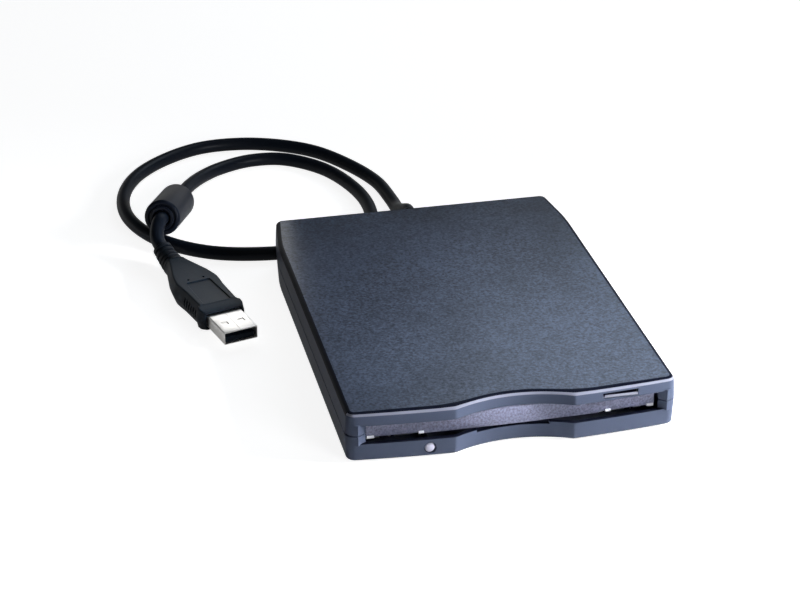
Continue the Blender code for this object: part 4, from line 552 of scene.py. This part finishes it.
def make_lid():
    low = PARTING + SEAM
    lid = shell(seam_levels(low, 1) + edge_levels(TOP, TOP_ROUND, 1), low, TOP - WALL, True)
    ceiling = TOP - WALL / 2
    pocket = prism([(0.0282, 0.0133), (0.0391, 0.0133), (0.0391, 0.0155), (0.0274, 0.0155), (0.0274, 0.0141)],
                   FRONT - OVERRUN, FRONT + FRONT_BOW + WALL + OVERRUN, "Y")
    ears, holes, bosses = [], [], []
    for side in (-1, 1):
        ears.append(cheek(side, low, SLOT_TOP + 0.0004))
        near = side * cheek_line(side)[0]
        low_x, high_x = sorted((near, near + side * 0.0016))
        ear = arc(HINGE, 0.0018, math.pi, math.tau, 12) + [(HINGE[0] + 0.0018, ceiling), (HINGE[0] - 0.0018, ceiling)]
        ears.append(prism(ear, low_x, high_x, "X"))
        holes.append(rod(0.0007, low_x - OVERRUN, high_x + OVERRUN, HINGE, "X", 24))
    for x, y, top in SCREWS[-2:]:
        bosses.append(rod(0.0026, FOOT + WALL + GAP, ceiling, (x, y), "Z", 32))
        holes.append(screw_cutter(x, y, top))
    lid = combined(combined(lid, ears + bosses, "UNION"), [slot_cutter(), pocket, boot_cutter(), *holes],
                   "DIFFERENCE")
    finished("top_shell_skin", lid, [grained_plastic, smooth_plastic, painted_shade_plastic, painted_highlight_plastic], lid_tone,
             sharp=28, slot="housing_plastic", replaces=("top_shell",))


def make_tray():
    high = PARTING - SEAM
    tray = shell(seam_levels(high, -1) + edge_levels(FOOT, BASE_ROUND, -1), high, FOOT + WALL)
    notch = box(-NOTCH_HALF, NOTCH_HALF, FRONT - OVERRUN, INNER_FRONT, SLOT_BOTTOM - NOTCH_DEPTH, SLOT_TOP)
    light = rod(0.0019, FRONT - OVERRUN, FRONT + 0.0042, LIGHT_HOLE, "Y", 40)
    cuts = [slot_cutter(), notch, light, boot_cutter()]
    cuts += [rod(0.0048, 0, FOOT + 0.0006, spot, "Z", 48) for spot in FEET.values()]
    cuts += [screw_cutter(*screw) for screw in SCREWS]
    posts = [rod(0.0020, FOOT + WALL / 2, 0.0041, (side * 0.033, REAR - 0.0035 - 0.00465), "Z", 24)
             for side in (-1, 1)]
    posts += [cheek(side, SLOT_BOTTOM - 0.0004, high) for side in (-1, 1)]
    tray = combined(combined(tray, posts, "UNION"), cuts, "DIFFERENCE")

    def shaded_sill(face):
        """The upper face of the slot's sill, made dark as painted shade inside the slot."""
        spot = face.calc_center_median()
        return int(face.normal.z > 0.9 and abs(spot.z - SLOT_BOTTOM) < 0.001 and spot.y < FRONT + 0.008)

    finished("bottom_shell_skin", tray, [smooth_plastic, painted_shade_plastic], shaded_sill, sharp=28, slot="housing_plastic",
             replaces=("bottom_shell",))


def make_feet():
    profile = [(0.0041, 0.00102), (0.0045, 0.00102), (0.0045, 0.0004)]
    profile += [(0.0042 + 0.0003 * math.cos(a), 0.0003 - 0.0003 * math.sin(a))
                for a in [math.pi / 2 * step / 6 for step in range(7)]]
    profile += [(0.0040, 0.0), (0.0036, 0.00012), (0.0030, 0.00012), (0.0026, 0.0)]
    for name, spot in FEET.items():
        finished(name + "_pad", turned(profile, spot, "Z", 48), [rubber], slot="black_rubber", replaces=(name,))


def make_light():
    """The status light's dome, its light pipe behind the front given black rubber as painted shade."""
    rim = FRONT + 0.0013
    step_y = FRONT + 0.0039
    dome_radius, dome_height, pipe_radius = 0.00152, 0.0006, 0.0010
    profile = [(pipe_radius, LIGHT_END), (pipe_radius, step_y), (dome_radius, step_y), (dome_radius, rim)]
    profile += [(dome_radius * math.cos(a), rim - dome_height * math.sin(a))
                for a in [math.pi / 2 * step / 8 for step in range(1, 8)]]

    def shaded_pipe(face):
        return int(face.calc_center_median().y > FRONT + 0.0030)

    finished("status_light_dome", turned(profile, LIGHT_SPOT, "Y", 48), [lens, rubber], shaded_pipe,
             slot="lens_plastic", replaces=("status_light_lens",))


# Flap and button

def flap_bow(x):
    return FLAP_BOW * (2 * x / FLAP_WIDTH) ** 2


def flap_foot(x):
    """Height of the flap's lower edge, a little higher beyond the recess and towards its ends."""
    return FLAP_BOTTOM + (0.00045 if abs(x) > 0.0275 else 0.0) + 0.0002 * (2 * x / FLAP_WIDTH) ** 2


def make_flap():
    half = FLAP_WIDTH / 2
    steps = 96
    rings = []
    for x in [-half + FLAP_WIDTH * step / steps for step in range(steps + 1)]:
        y = FLAP_FACE + flap_bow(x)
        back = y + FLAP_THICKNESS
        base = flap_foot(x)
        rings.append([(x, y, base + 0.00022), (x, y + 0.00008, base + 0.00008), (x, y + 0.00022, base),
                      (x, back - 0.00015, base), (x, back, base + 0.00015), (x, back, FLAP_TOP - 0.0003),
                      (x, back - 0.0002, FLAP_TOP), (x, y + 0.0003, FLAP_TOP), (x, y + 0.0001, FLAP_TOP - 0.0001),
                      (x, y, FLAP_TOP - 0.0003)])
    extra = []
    for spot, half_width in ((-0.0441, 0.0011), (-0.0285, 0.0008), (0.0305, 0.0008), (0.0441, 0.0011)):
        y = FLAP_FACE + flap_bow(spot)
        base = flap_foot(spot) - 0.0003
        near, far, top = y - 0.0003, y + FLAP_THICKNESS - 0.00005, base + 0.0009
        toe = rounded([(near, base, 0.0002, 4), (far, base, 0.0002, 4), (far, top, 0, 0), (near, top, 0.0002, 4)])
        extra.append(prism(toe, spot - half_width, spot + half_width, "X"))
    for side in (-1, 1):
        low, high = sorted((side * (half - 0.0008), side * (half + 0.0018)))
        extra.append(rod(0.0006, low, high, HINGE, "X", 24))

    def toes(face):
        spot = face.calc_center_median()
        return int(spot.y < FLAP_FACE + flap_bow(spot.x) - 0.00003 or spot.z < flap_foot(spot.x) - 0.00003)

    finished("slot_flap_skin", combined(loft(rings), extra, "UNION"), [flap_plastic, toe_plastic], toes, body="flap",
             slot="flap_plastic", replaces=("slot_flap",))


def make_button():
    """The eject button: a bar along the foot of its pocket, its upper half set back, with its stem."""
    low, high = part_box("eject_button")
    face, back = low.y, high.y
    ledge, ledge_y, bar_back = 0.01450, face + 0.0032, face + 0.0042
    section = [(ledge_y, high.z), (ledge_y, ledge), (face + 0.00025, ledge), (face, ledge - 0.00025),
               (face, low.z + 0.0001), (face + 0.0001, low.z), (bar_back, low.z), (bar_back, high.z)]
    bar = prism(section, low.x + 0.0006, high.x, "X")
    corner = prism([(low.x, low.z - 0.001), (low.x + 0.0014, low.z - 0.001), (low.x, low.z + 0.0012)], face - 0.001,
                   face + 0.005, "Y")
    stem = box(0.0303, 0.0362, face + 0.0030, back, low.z, low.z + 0.0008)
    solid = combined(combined(bar, [corner], "DIFFERENCE"), [stem], "UNION")

    def tone(part):
        """Light face, a painted highlight on the bevel above it, and painted shade beyond."""
        if part.normal.y < -0.9 and part.calc_center_median().y < face + 0.001:
            return 0
        return 1 if part.normal.y < -0.3 and part.normal.z > 0.3 else 2

    finished("eject_button_skin", solid, [button_plastic, painted_highlight_plastic, painted_shade_plastic], tone, sharp=28, body="slider",
             slot="button_plastic", replaces=("eject_button",))


# Boot, bead, relief and plug

def make_boot():
    neck = REAR - WALL - GAP
    profile = [(0.0024, neck - 0.0012), (0.0042, neck - 0.0012), (0.0045, neck - 0.0009), (0.0045, neck - 0.0002),
               (0.0043, neck), (0.0033, neck), (0.0033, REAR + GAP), (0.0040, REAR + GAP),
               (0.0042, REAR + 0.0005), (0.0042, REAR + 0.0018)]
    ribs = 5
    start = REAR + 0.0022
    pitch = (REAR + 0.0097 - start) / ribs
    for rib in range(ribs):
        low = start + rib * pitch
        radius = 0.0037 - 0.0009 * rib / (ribs - 1)
        profile += [(radius - 0.0003, low), (radius - 0.0003, low + pitch * 0.35), (radius, low + pitch * 0.42),
                    (radius, low + pitch * 0.93)]
    profile += [(0.0027, REAR + 0.0100), (0.0026, REAR + 0.01025), (0.0025, REAR + 0.01028)]
    finished("cable_boot_skin", turned(profile, (BOOT_PLACE, PARTING), "Y", 48), [rubber], slot="black_rubber",
             replaces=("cable_boot",))


def moved(solid, matrix):
    bmesh.ops.transform(solid, matrix=matrix, verts=solid.verts)
    return solid


def make_bead():
    """The ferrite bead's round sleeve, with a collar and a recess for the cord at each end."""
    axis = (BEAD_FRONT - BEAD_REAR).normalized()
    span = (BEAD_FRONT - BEAD_REAR).length
    half = [(0.0026, 0.0022), (0.0031, 0.0016), (0.0031, 0.0002), (0.0033, 0.0), (0.0041, 0.0), (0.0043, 0.0002),
            (0.0043, 0.0011), (0.0046, 0.0012), (0.0048, 0.0009), (0.0052, 0.0007)]
    half += [(0.0053 + 0.0012 * math.sin(a), 0.0007 + 0.0012 * (1 - math.cos(a)))
             for a in [math.pi / 2 * step / 8 for step in range(9)]]
    profile = half + [(radius, span - along) for radius, along in reversed(half)]
    turn = axis.to_track_quat("Z", "Y").to_matrix().to_4x4()
    solid = moved(turned(profile, (0, 0), "Z", 64), Matrix.Translation(BEAD_REAR) @ turn)
    return finished("ferrite_bead_skin", solid, [bead_black], slot="black_plastic", replaces=("ferrite_bead",))


def make_relief():
    start, bend, end = relief_line()
    ribs = 5
    profile = []
    for rib in range(ribs):
        low = rib / ribs
        radius = 0.0041 - 0.0009 * low
        for share, size in ((0.0, -0.0002), (0.06, 0.0), (0.55, 0.0), (0.64, -0.0002), (0.67, -0.0008),
                            (0.95, -0.0008)):
            profile.append((low + share / ribs, radius + size))
    profile.append((1.0, 0.0026))
    points = [start.lerp(bend, t).lerp(bend.lerp(end, t), t) for t, _ in profile]
    return finished("plug_relief_skin", tube(points, [radius for _, radius in profile], 40), [rubber],
                    slot="black_rubber", replaces=("plug_relief",))


def plug_ring(width, height, y, flank):
    """Ring of the mould at y: a flat top and base between sloping flanks."""
    half = width / 2
    low = (PLUG_HEIGHT - height) / 2
    high = low + height
    right = [(half - flank, high), (half - flank + 0.0004, high - 0.0002), (half - 0.0002, PLUG_MIDDLE + 0.0012),
             (half, PLUG_MIDDLE + 0.0006), (half, PLUG_MIDDLE - 0.0006), (half - 0.0002, PLUG_MIDDLE - 0.0012),
             (half - flank + 0.0004, low + 0.0002), (half - flank, low)]
    return [(x, y, z) for x, z in right] + [(-x, y, z) for x, z in reversed(right)]


# Shares of the mould's length, width and height at each of its rings, from the USB shell to the relief
MOULD_SHARES = (
    (0.00, 0.84, 0.77), (0.012, 0.87, 0.80), (0.05, 0.95, 0.90), (0.10, 0.965, 0.93), (0.115, 0.955, 0.965),
    (0.13, 0.91, 0.995), (0.20, 0.915, 1.00), (0.30, 0.925, 1.00), (0.40, 0.94, 1.00), (0.47, 0.975, 1.00),
    (0.52, 0.993, 1.00), (0.55, 1.00, 1.00), (0.58, 0.985, 1.00), (0.64, 0.93, 1.00), (0.70, 0.87, 1.00),
    (0.78, 0.75, 0.99), (0.86, 0.63, 0.98), (0.92, 0.54, 0.97), (0.96, 0.49, 0.96), (1.00, 0.47, 0.93),
)
COLLAR_SHARE = 0.11
SHELL_HALF = 0.0060
SHELL_RISE = 0.00225
SHELL_END = -0.0139
SHEET = 0.0004


def make_mould():
    mould = loft([plug_ring(PLUG_WIDTH * width, PLUG_HEIGHT * height, PLUG_LENGTH * at,
                            0.0016 if at > COLLAR_SHARE else 0.0010) for at, width, height in MOULD_SHARES])
    panel_front, panel_rear = 0.0054, 0.0054 + 0.0170
    panel = rounded([(-0.0050, panel_front, 0.0004, 4), (0.0050, panel_front, 0.0004, 4),
                     (0.0043, panel_rear, 0.0006, 4), (-0.0043, panel_rear, 0.0006, 4)])
    cuts = [prism(panel, PLUG_HEIGHT - 0.0004, PLUG_HEIGHT + OVERRUN)]
    for side in (-1, 1):
        cuts.append(rod(0.0005, PLUG_HEIGHT - 0.0005, PLUG_HEIGHT + OVERRUN, (side * 0.0028, 0.0242), "Z", 16))
        for rib in range(6):
            near = 0.0058 + 0.0018 * rib
            across = sorted((side * (PLUG_WIDTH * 0.91 / 2 - 0.0005), side * 0.0107))
            cuts.append(box(*across, near, near + 0.0009, PLUG_MIDDLE - 0.0023, PLUG_MIDDLE + 0.0023))
    cuts.append(box(-0.0063, 0.0063, -OVERRUN, 0.0063, PLUG_MIDDLE - 0.00255, PLUG_MIDDLE + 0.00255))
    solid = moved(combined(mould, cuts, "DIFFERENCE"), PLUG_MATRIX)
    return finished("plug_mould", solid, [mould_black], sharp=22, slot="black_plastic", replaces=("plug_body",))


def shell_section(margin, radius, steps):
    """Rounded section of the USB shell, inside its outline by a margin."""
    half, rise = SHELL_HALF - margin, SHELL_RISE - margin
    return rounded([(x, PLUG_MIDDLE + z, radius, steps)
                    for x, z in ((-half, -rise), (half, -rise), (half, rise), (-half, rise))])


def make_can():
    """The USB shell, a folded sheet: its seam along the top, four latch holes and a rolled front edge."""
    outer = shell_section(0, 0.0004, 5)
    stations = ((SHELL_END, 0.00014), (-0.01382, 0.00004), (-0.0136, 0.0), (0.0060, 0.0))
    can = loft([[(x, y, z) for x, z in inset(outer, back)] for y, back in stations])
    inner = shell_section(SHEET, 0.0002, 4)
    stations = ((-0.0160, -0.0001), (-0.01385, -0.0001), (-0.0136, 0.0), (0.0056, 0.0))
    cuts = [loft([[(x, y, z) for x, z in inset(inner, back)] for y, back in stations])]
    near = SHELL_END + 0.0052
    lower, upper = PLUG_MIDDLE - SHELL_RISE, PLUG_MIDDLE + SHELL_RISE
    for x in (-0.0029, 0.0029):
        for low, top in ((upper - 0.00028, PLUG_HEIGHT), (0.0, lower + 0.00028)):
            cuts.append(box(x - 0.0011, x + 0.0011, near, near + 0.0022, low, top))
    cuts.append(box(-0.00006, 0.00006, -0.0160, 0.0056, upper - 0.00012, upper + 0.001))
    solid = moved(combined(can, cuts, "DIFFERENCE"), PLUG_MATRIX)
    return finished("plug_shell_skin", solid, [nickel], sharp=30, slot="bright_nickel", replaces=("plug_shell",))


def make_tongue():
    """The plug's contact tongue, with the grooves of its four contacts."""
    low = PLUG_MIDDLE - SHELL_RISE + SHEET + 0.00005
    tongue = prism(rounded([(-0.0052, -0.0129, 0.0003, 3), (0.0052, -0.0129, 0.0003, 3), (0.0052, 0.0054, 0, 0),
                            (-0.0052, 0.0054, 0, 0)]), low, low + 0.0017)
    grooves = [box(x - 0.0006, x + 0.0006, -0.0127, 0.0050, low + 0.0016, low + 0.0020)
               for x in (-0.0035, -0.0010, 0.0010, 0.0035)]
    solid = moved(combined(tongue, grooves, "DIFFERENCE"), PLUG_MATRIX)
    return finished("plug_tongue_skin", solid, [mould_black], slot="black_plastic", replaces=("plug_tongue",))


# Materials

def shader_of(name, colour, roughness, metallic, settings):
    """A Principled material, its tree and its shader, with the constants set on the shader's own sockets."""
    made = bpy.data.materials.new(name)
    made.use_nodes = True
    shader = made.node_tree.nodes["Principled BSDF"]
    shader.inputs["Base Color"].default_value = (*colour, 1)
    shader.inputs["Roughness"].default_value = roughness
    shader.inputs["Metallic"].default_value = metallic
    for key, value in settings.items():
        shader.inputs[key.replace("_", " ")].default_value = value
    return made, made.node_tree, shader


def add(tree, kind, **settings):
    """A new node, with its inputs and its own settings given by name."""
    node = tree.nodes.new(kind)
    for key, value in settings.items():
        if key in node.inputs.keys():
            node.inputs[key].default_value = value
        else:
            setattr(node, key, value)
    return node


def noise(tree, where, scale, detail, roughness=0.5):
    node = add(tree, "ShaderNodeTexNoise", Scale=scale, Detail=detail, Roughness=roughness)
    tree.links.new(where, node.inputs["Vector"])
    return node.outputs["Fac"]


def mapped(tree, source, low, high, start=0.3, end=0.7):
    """A value between start and end, mapped to between low and high."""
    node = add(tree, "ShaderNodeMapRange")
    tree.links.new(source, node.inputs["Value"])
    for key, value in (("From Min", start), ("From Max", end), ("To Min", low), ("To Max", high)):
        node.inputs[key].default_value = value
    return node.outputs["Result"]


def maths(tree, operation, first, second):
    """Two sockets or numbers, put together."""
    node = add(tree, "ShaderNodeMath", operation=operation)
    for socket, value in zip(node.inputs, (first, second)):
        if isinstance(value, float):
            socket.default_value = value
        else:
            tree.links.new(value, socket)
    return node.outputs[0]


def tinted(tree, shader, colour, factor):
    tint = add(tree, "ShaderNodeVectorMath", operation="SCALE")
    tint.inputs[0].default_value = colour
    tree.links.new(factor, tint.inputs["Scale"])
    tree.links.new(tint.outputs["Vector"], shader.inputs["Base Color"])


def embossed(tree, shader, height, relief, depth, soft_edge):
    """Bump from a height, on normals that are rounded at the arrises."""
    bump = add(tree, "ShaderNodeBump", Strength=relief, Distance=depth)
    tree.links.new(height, bump.inputs["Height"])
    if soft_edge:
        bevel = add(tree, "ShaderNodeBevel", samples=4)
        bevel.inputs["Radius"].default_value = soft_edge
        tree.links.new(bevel.outputs["Normal"], bump.inputs["Normal"])
    tree.links.new(bump.outputs["Normal"], shader.inputs["Normal"])


def grained(name, colour, roughness, grain=2000, relief=0.5, depth=0.00006, vary=0.12, scuff=0.03,
            soft_edge=0.00025, **settings):
    """Moulded plastic or rubber: fine grain, faint mottling, uneven gloss and rounded arrises."""
    made, tree, shader = shader_of(name, colour, roughness, 0.0, settings)
    where = add(tree, "ShaderNodeTexCoord").outputs["Object"]
    fine = noise(tree, where, grain, 2.0, 0.6)
    broad = noise(tree, where, 35.0, 4.0, 0.6)
    shade = mapped(tree, fine, 1 - vary, 1 + vary)
    patch = mapped(tree, broad, 1 - vary / 3, 1 + vary / 3)
    tinted(tree, shader, colour, maths(tree, "MULTIPLY", shade, patch))
    gloss = mapped(tree, broad, max(0.02, roughness - scuff), min(1.0, roughness + scuff))
    tree.links.new(gloss, shader.inputs["Roughness"])
    embossed(tree, shader, fine, relief, depth, soft_edge)
    return made


def metal(name, colour, roughness):
    """Plated or bare metal with fine drawing lines and small stains."""
    made, tree, shader = shader_of(name, colour, roughness, 1.0, {})
    where = add(tree, "ShaderNodeTexCoord").outputs["Object"]
    stretch = add(tree, "ShaderNodeMapping")
    stretch.inputs["Scale"].default_value = (30, 900, 900)
    tree.links.new(where, stretch.inputs["Vector"])
    lines = noise(tree, stretch.outputs["Vector"], 1.0, 3.0)
    stain = noise(tree, where, 160.0, 4.0)
    tree.links.new(mapped(tree, stain, max(0.03, roughness - 0.08), roughness + 0.10), shader.inputs["Roughness"])
    tinted(tree, shader, colour, mapped(tree, lines, 0.88, 1.08, 0.0, 1.0))
    embossed(tree, shader, lines, 0.15, 0.00002, 0.0001)
    return made


def dress(material, name):
    """Gives a CAD node a better material."""
    if not nodes[name].material_slots:
        nodes[name].data.materials.append(material)
    for slot in nodes[name].material_slots:
        slot.link = "OBJECT"
        slot.material = material


# Stage and lights

FLOOR_SHADE = 0.55
FLOOR_LEVEL = 0.88
FLOOR_MIRRORED = 0.25
FLOOR_SIZE = 6
AMBIENT = 0.03


def make_stage():
    """A pale floor: matte, white to the camera by its own glow, and fainter in reflections."""
    made = bpy.data.materials.new("floor_white")
    made.use_nodes = True
    tree = made.node_tree
    tree.nodes.remove(tree.nodes["Principled BSDF"])
    matte = add(tree, "ShaderNodeBsdfDiffuse", Color=(FLOOR_SHADE, FLOOR_SHADE, FLOOR_SHADE, 1))
    glow = add(tree, "ShaderNodeEmission")
    path = add(tree, "ShaderNodeLightPath").outputs
    seen = maths(tree, "MAXIMUM", path["Is Camera Ray"],
                 maths(tree, "MULTIPLY", path["Is Glossy Ray"], FLOOR_MIRRORED))
    seen = maths(tree, "MAXIMUM", seen, path["Is Transmission Ray"])
    tree.links.new(maths(tree, "MULTIPLY", seen, FLOOR_LEVEL), glow.inputs["Strength"])
    both = add(tree, "ShaderNodeAddShader")
    tree.links.new(matte.outputs[0], both.inputs[0])
    tree.links.new(glow.outputs[0], both.inputs[1])
    tree.links.new(both.outputs[0], tree.nodes["Material Output"].inputs["Surface"])
    grid = bmesh.new()
    bmesh.ops.create_grid(grid, x_segments=8, y_segments=8, size=FLOOR_SIZE)
    mesh = bpy.data.meshes.new("floor")
    grid.to_mesh(mesh)
    grid.free()
    floor = bpy.data.objects.new("floor", mesh)
    floor.location.z = min(0.0, cad_low.z) - 0.00002
    scene.collection.objects.link(floor)
    mesh.materials.append(made)


def make_world():
    """Faint ambient light, and white for the camera, for glass, and for reflections near the horizon."""
    world = bpy.data.worlds.new("studio")
    scene.world = world
    world.use_nodes = True
    tree = world.node_tree
    ambient = tree.nodes["Background"]
    ambient.inputs["Color"].default_value = (0.90, 0.95, 1.0, 1)
    ambient.inputs["Strength"].default_value = AMBIENT
    white_sky = add(tree, "ShaderNodeBackground", Color=(1, 1, 1, 1), Strength=1.0)
    split = add(tree, "ShaderNodeSeparateXYZ")
    tree.links.new(add(tree, "ShaderNodeTexCoord").outputs["Generated"], split.inputs[0])
    band = mapped(tree, split.outputs["Z"], 1.0, 0.0, 0.04, 0.22)
    path = add(tree, "ShaderNodeLightPath").outputs
    glossy = maths(tree, "MULTIPLY", path["Is Glossy Ray"], band)
    seen = maths(tree, "MAXIMUM", path["Is Camera Ray"], path["Is Transmission Ray"])
    mix = add(tree, "ShaderNodeMixShader")
    tree.links.new(maths(tree, "MAXIMUM", seen, glossy), mix.inputs[0])
    tree.links.new(ambient.outputs[0], mix.inputs[1])
    tree.links.new(white_sky.outputs[0], mix.inputs[2])
    tree.links.new(mix.outputs[0], tree.nodes["World Output"].inputs["Surface"])


def lamp(name, at, target, size, power, colour=(1, 1, 1), spread=180, mirrored=True):
    data = bpy.data.lights.new(name, "AREA")
    data.spread = math.radians(spread)
    data.shape = "RECTANGLE"
    data.size, data.size_y = size
    data.energy = power
    data.color = colour
    made = bpy.data.objects.new(name, data)
    scene.collection.objects.link(made)
    made.location = at
    made.visible_camera = False
    made.visible_glossy = mirrored
    made.rotation_mode = "QUATERNION"
    made.rotation_quaternion = (Vector(target) - Vector(at)).to_track_quat("-Z", "Y")


def make_lights():
    lamp("key", (0.300, -0.119, 0.145), (0.020, -0.050, 0.010), (0.16, 0.12), 0.37, (0.97, 0.97, 1.0), 42,
         mirrored=False)
    lamp("fill", (0.347, -0.682, 0.234), (0.0, -0.05, 0.0), (0.30, 0.20), 2.2, (0.93, 0.96, 1.0))
    lamp("card", (0.238, 0.381, 0.398), (0.0, 0.0, 0.015), (0.283, 0.283), 0.47, (0.80, 0.90, 1.0))
    lamp("metal_card", (-0.0648, 0.0879, 0.0413), (-0.0736, 0.0221, 0.0063), (0.045, 0.035), 0.0010, spread=60)
    lamp("overhead", (0.106, -0.601, 1.148), (0.0, 0.0, 0.0), (0.7, 0.7), 0.4)


scene.view_settings.view_transform = "Standard"
make_camera()

grained_plastic = grained("housing_grained", (0.036, 0.047, 0.072), 0.34, grain=1200, vary=0.75, relief=0.5,
                          depth=0.00006, scuff=0.01, Specular_IOR_Level=0.38)
smooth_plastic = grained("housing_smooth", (0.064, 0.079, 0.122), 0.42, grain=4500, vary=0.05, relief=0.15,
                         Specular_IOR_Level=0.12)
# Near-black plastic, painted shade: the lid's top edge band, the slot's sill and the button's pocket
painted_shade_plastic = grained("housing_painted_shade", (0.003, 0.004, 0.010), 0.5, grain=4500, vary=0.05, relief=0.1,
                       Specular_IOR_Level=0.1)
# Pale glossy plastic, painted highlight: the rim under the lid's front edge and the button's bevel
painted_highlight_plastic = grained("housing_painted_highlight", (0.20, 0.21, 0.27), 0.30, grain=4500, vary=0.05, relief=0.1)
flap_plastic = grained("flap_charcoal", (0.180, 0.187, 0.275), 0.50, grain=1500, vary=0.4, relief=0.5, depth=0.00015)
toe_plastic = grained("toe_light", (0.85, 0.86, 0.90), 0.3, grain=3000, vary=0.05, relief=0.1)
rubber = grained("rubber_black", (0.006, 0.009, 0.014), 0.45, grain=3500, vary=0.1, relief=0.2,
                 Specular_IOR_Level=0.25)
cable_black = grained("cable_black", (0.006, 0.009, 0.016), 0.40, grain=1500, vary=0.15, relief=0.15, soft_edge=0,
                      Specular_IOR_Level=0.2)
mould_black = grained("mould_black", (0.010, 0.017, 0.027), 0.42, grain=2200, vary=0.15, relief=0.25,
                      Specular_IOR_Level=0.12)
bead_black = grained("bead_black", (0.006, 0.009, 0.017), 0.38, vary=0.1, relief=0.15, Specular_IOR_Level=0.2)
nickel = metal("nickel", (0.96, 0.94, 0.91), 0.34)
zinc = metal("zinc_steel", (0.62, 0.63, 0.64), 0.32)
iron = metal("dark_iron", (0.22, 0.22, 0.23), 0.45)
magnet = grained("magnet_black", (0.03, 0.03, 0.032), 0.55)
board = grained("board_green", (0.03, 0.12, 0.06), 0.35, vary=0.08, relief=0.1)
chip = grained("chip_black", (0.012, 0.012, 0.013), 0.5)
white = grained("white_plastic", (0.70, 0.69, 0.66), 0.4)
ceramic = grained("head_ceramic", (0.25, 0.22, 0.20), 0.25)
button_plastic = grained("button_grey", (0.26, 0.27, 0.33), 0.4, vary=0.05, relief=0.15)
lens = grained("lens_clear", (0.42, 0.42, 0.52), 0.12, vary=0.05, relief=0.05)
by_slot = {"housing_plastic": smooth_plastic, "flap_plastic": flap_plastic, "button_plastic": button_plastic,
           "lens_plastic": lens, "black_rubber": rubber, "cable_black": cable_black, "black_plastic": mould_black,
           "bright_nickel": nickel, "zinc_steel": zinc, "dark_iron": iron, "magnet_black": magnet,
           "board_green": board, "chip_black": chip, "white_plastic": white, "head_ceramic": ceramic}
for row in frame["record"]["subparts"]:
    dress(by_slot[row["material_slot"]], row["node"])
# The status lamp behind the light pipe is dressed black as painted shade
dress(chip, "status_lamp")

make_cord()
make_lid()
make_tray()
make_feet()
make_light()
make_flap()
make_button()
make_boot()
make_stage()
make_world()
make_lights()
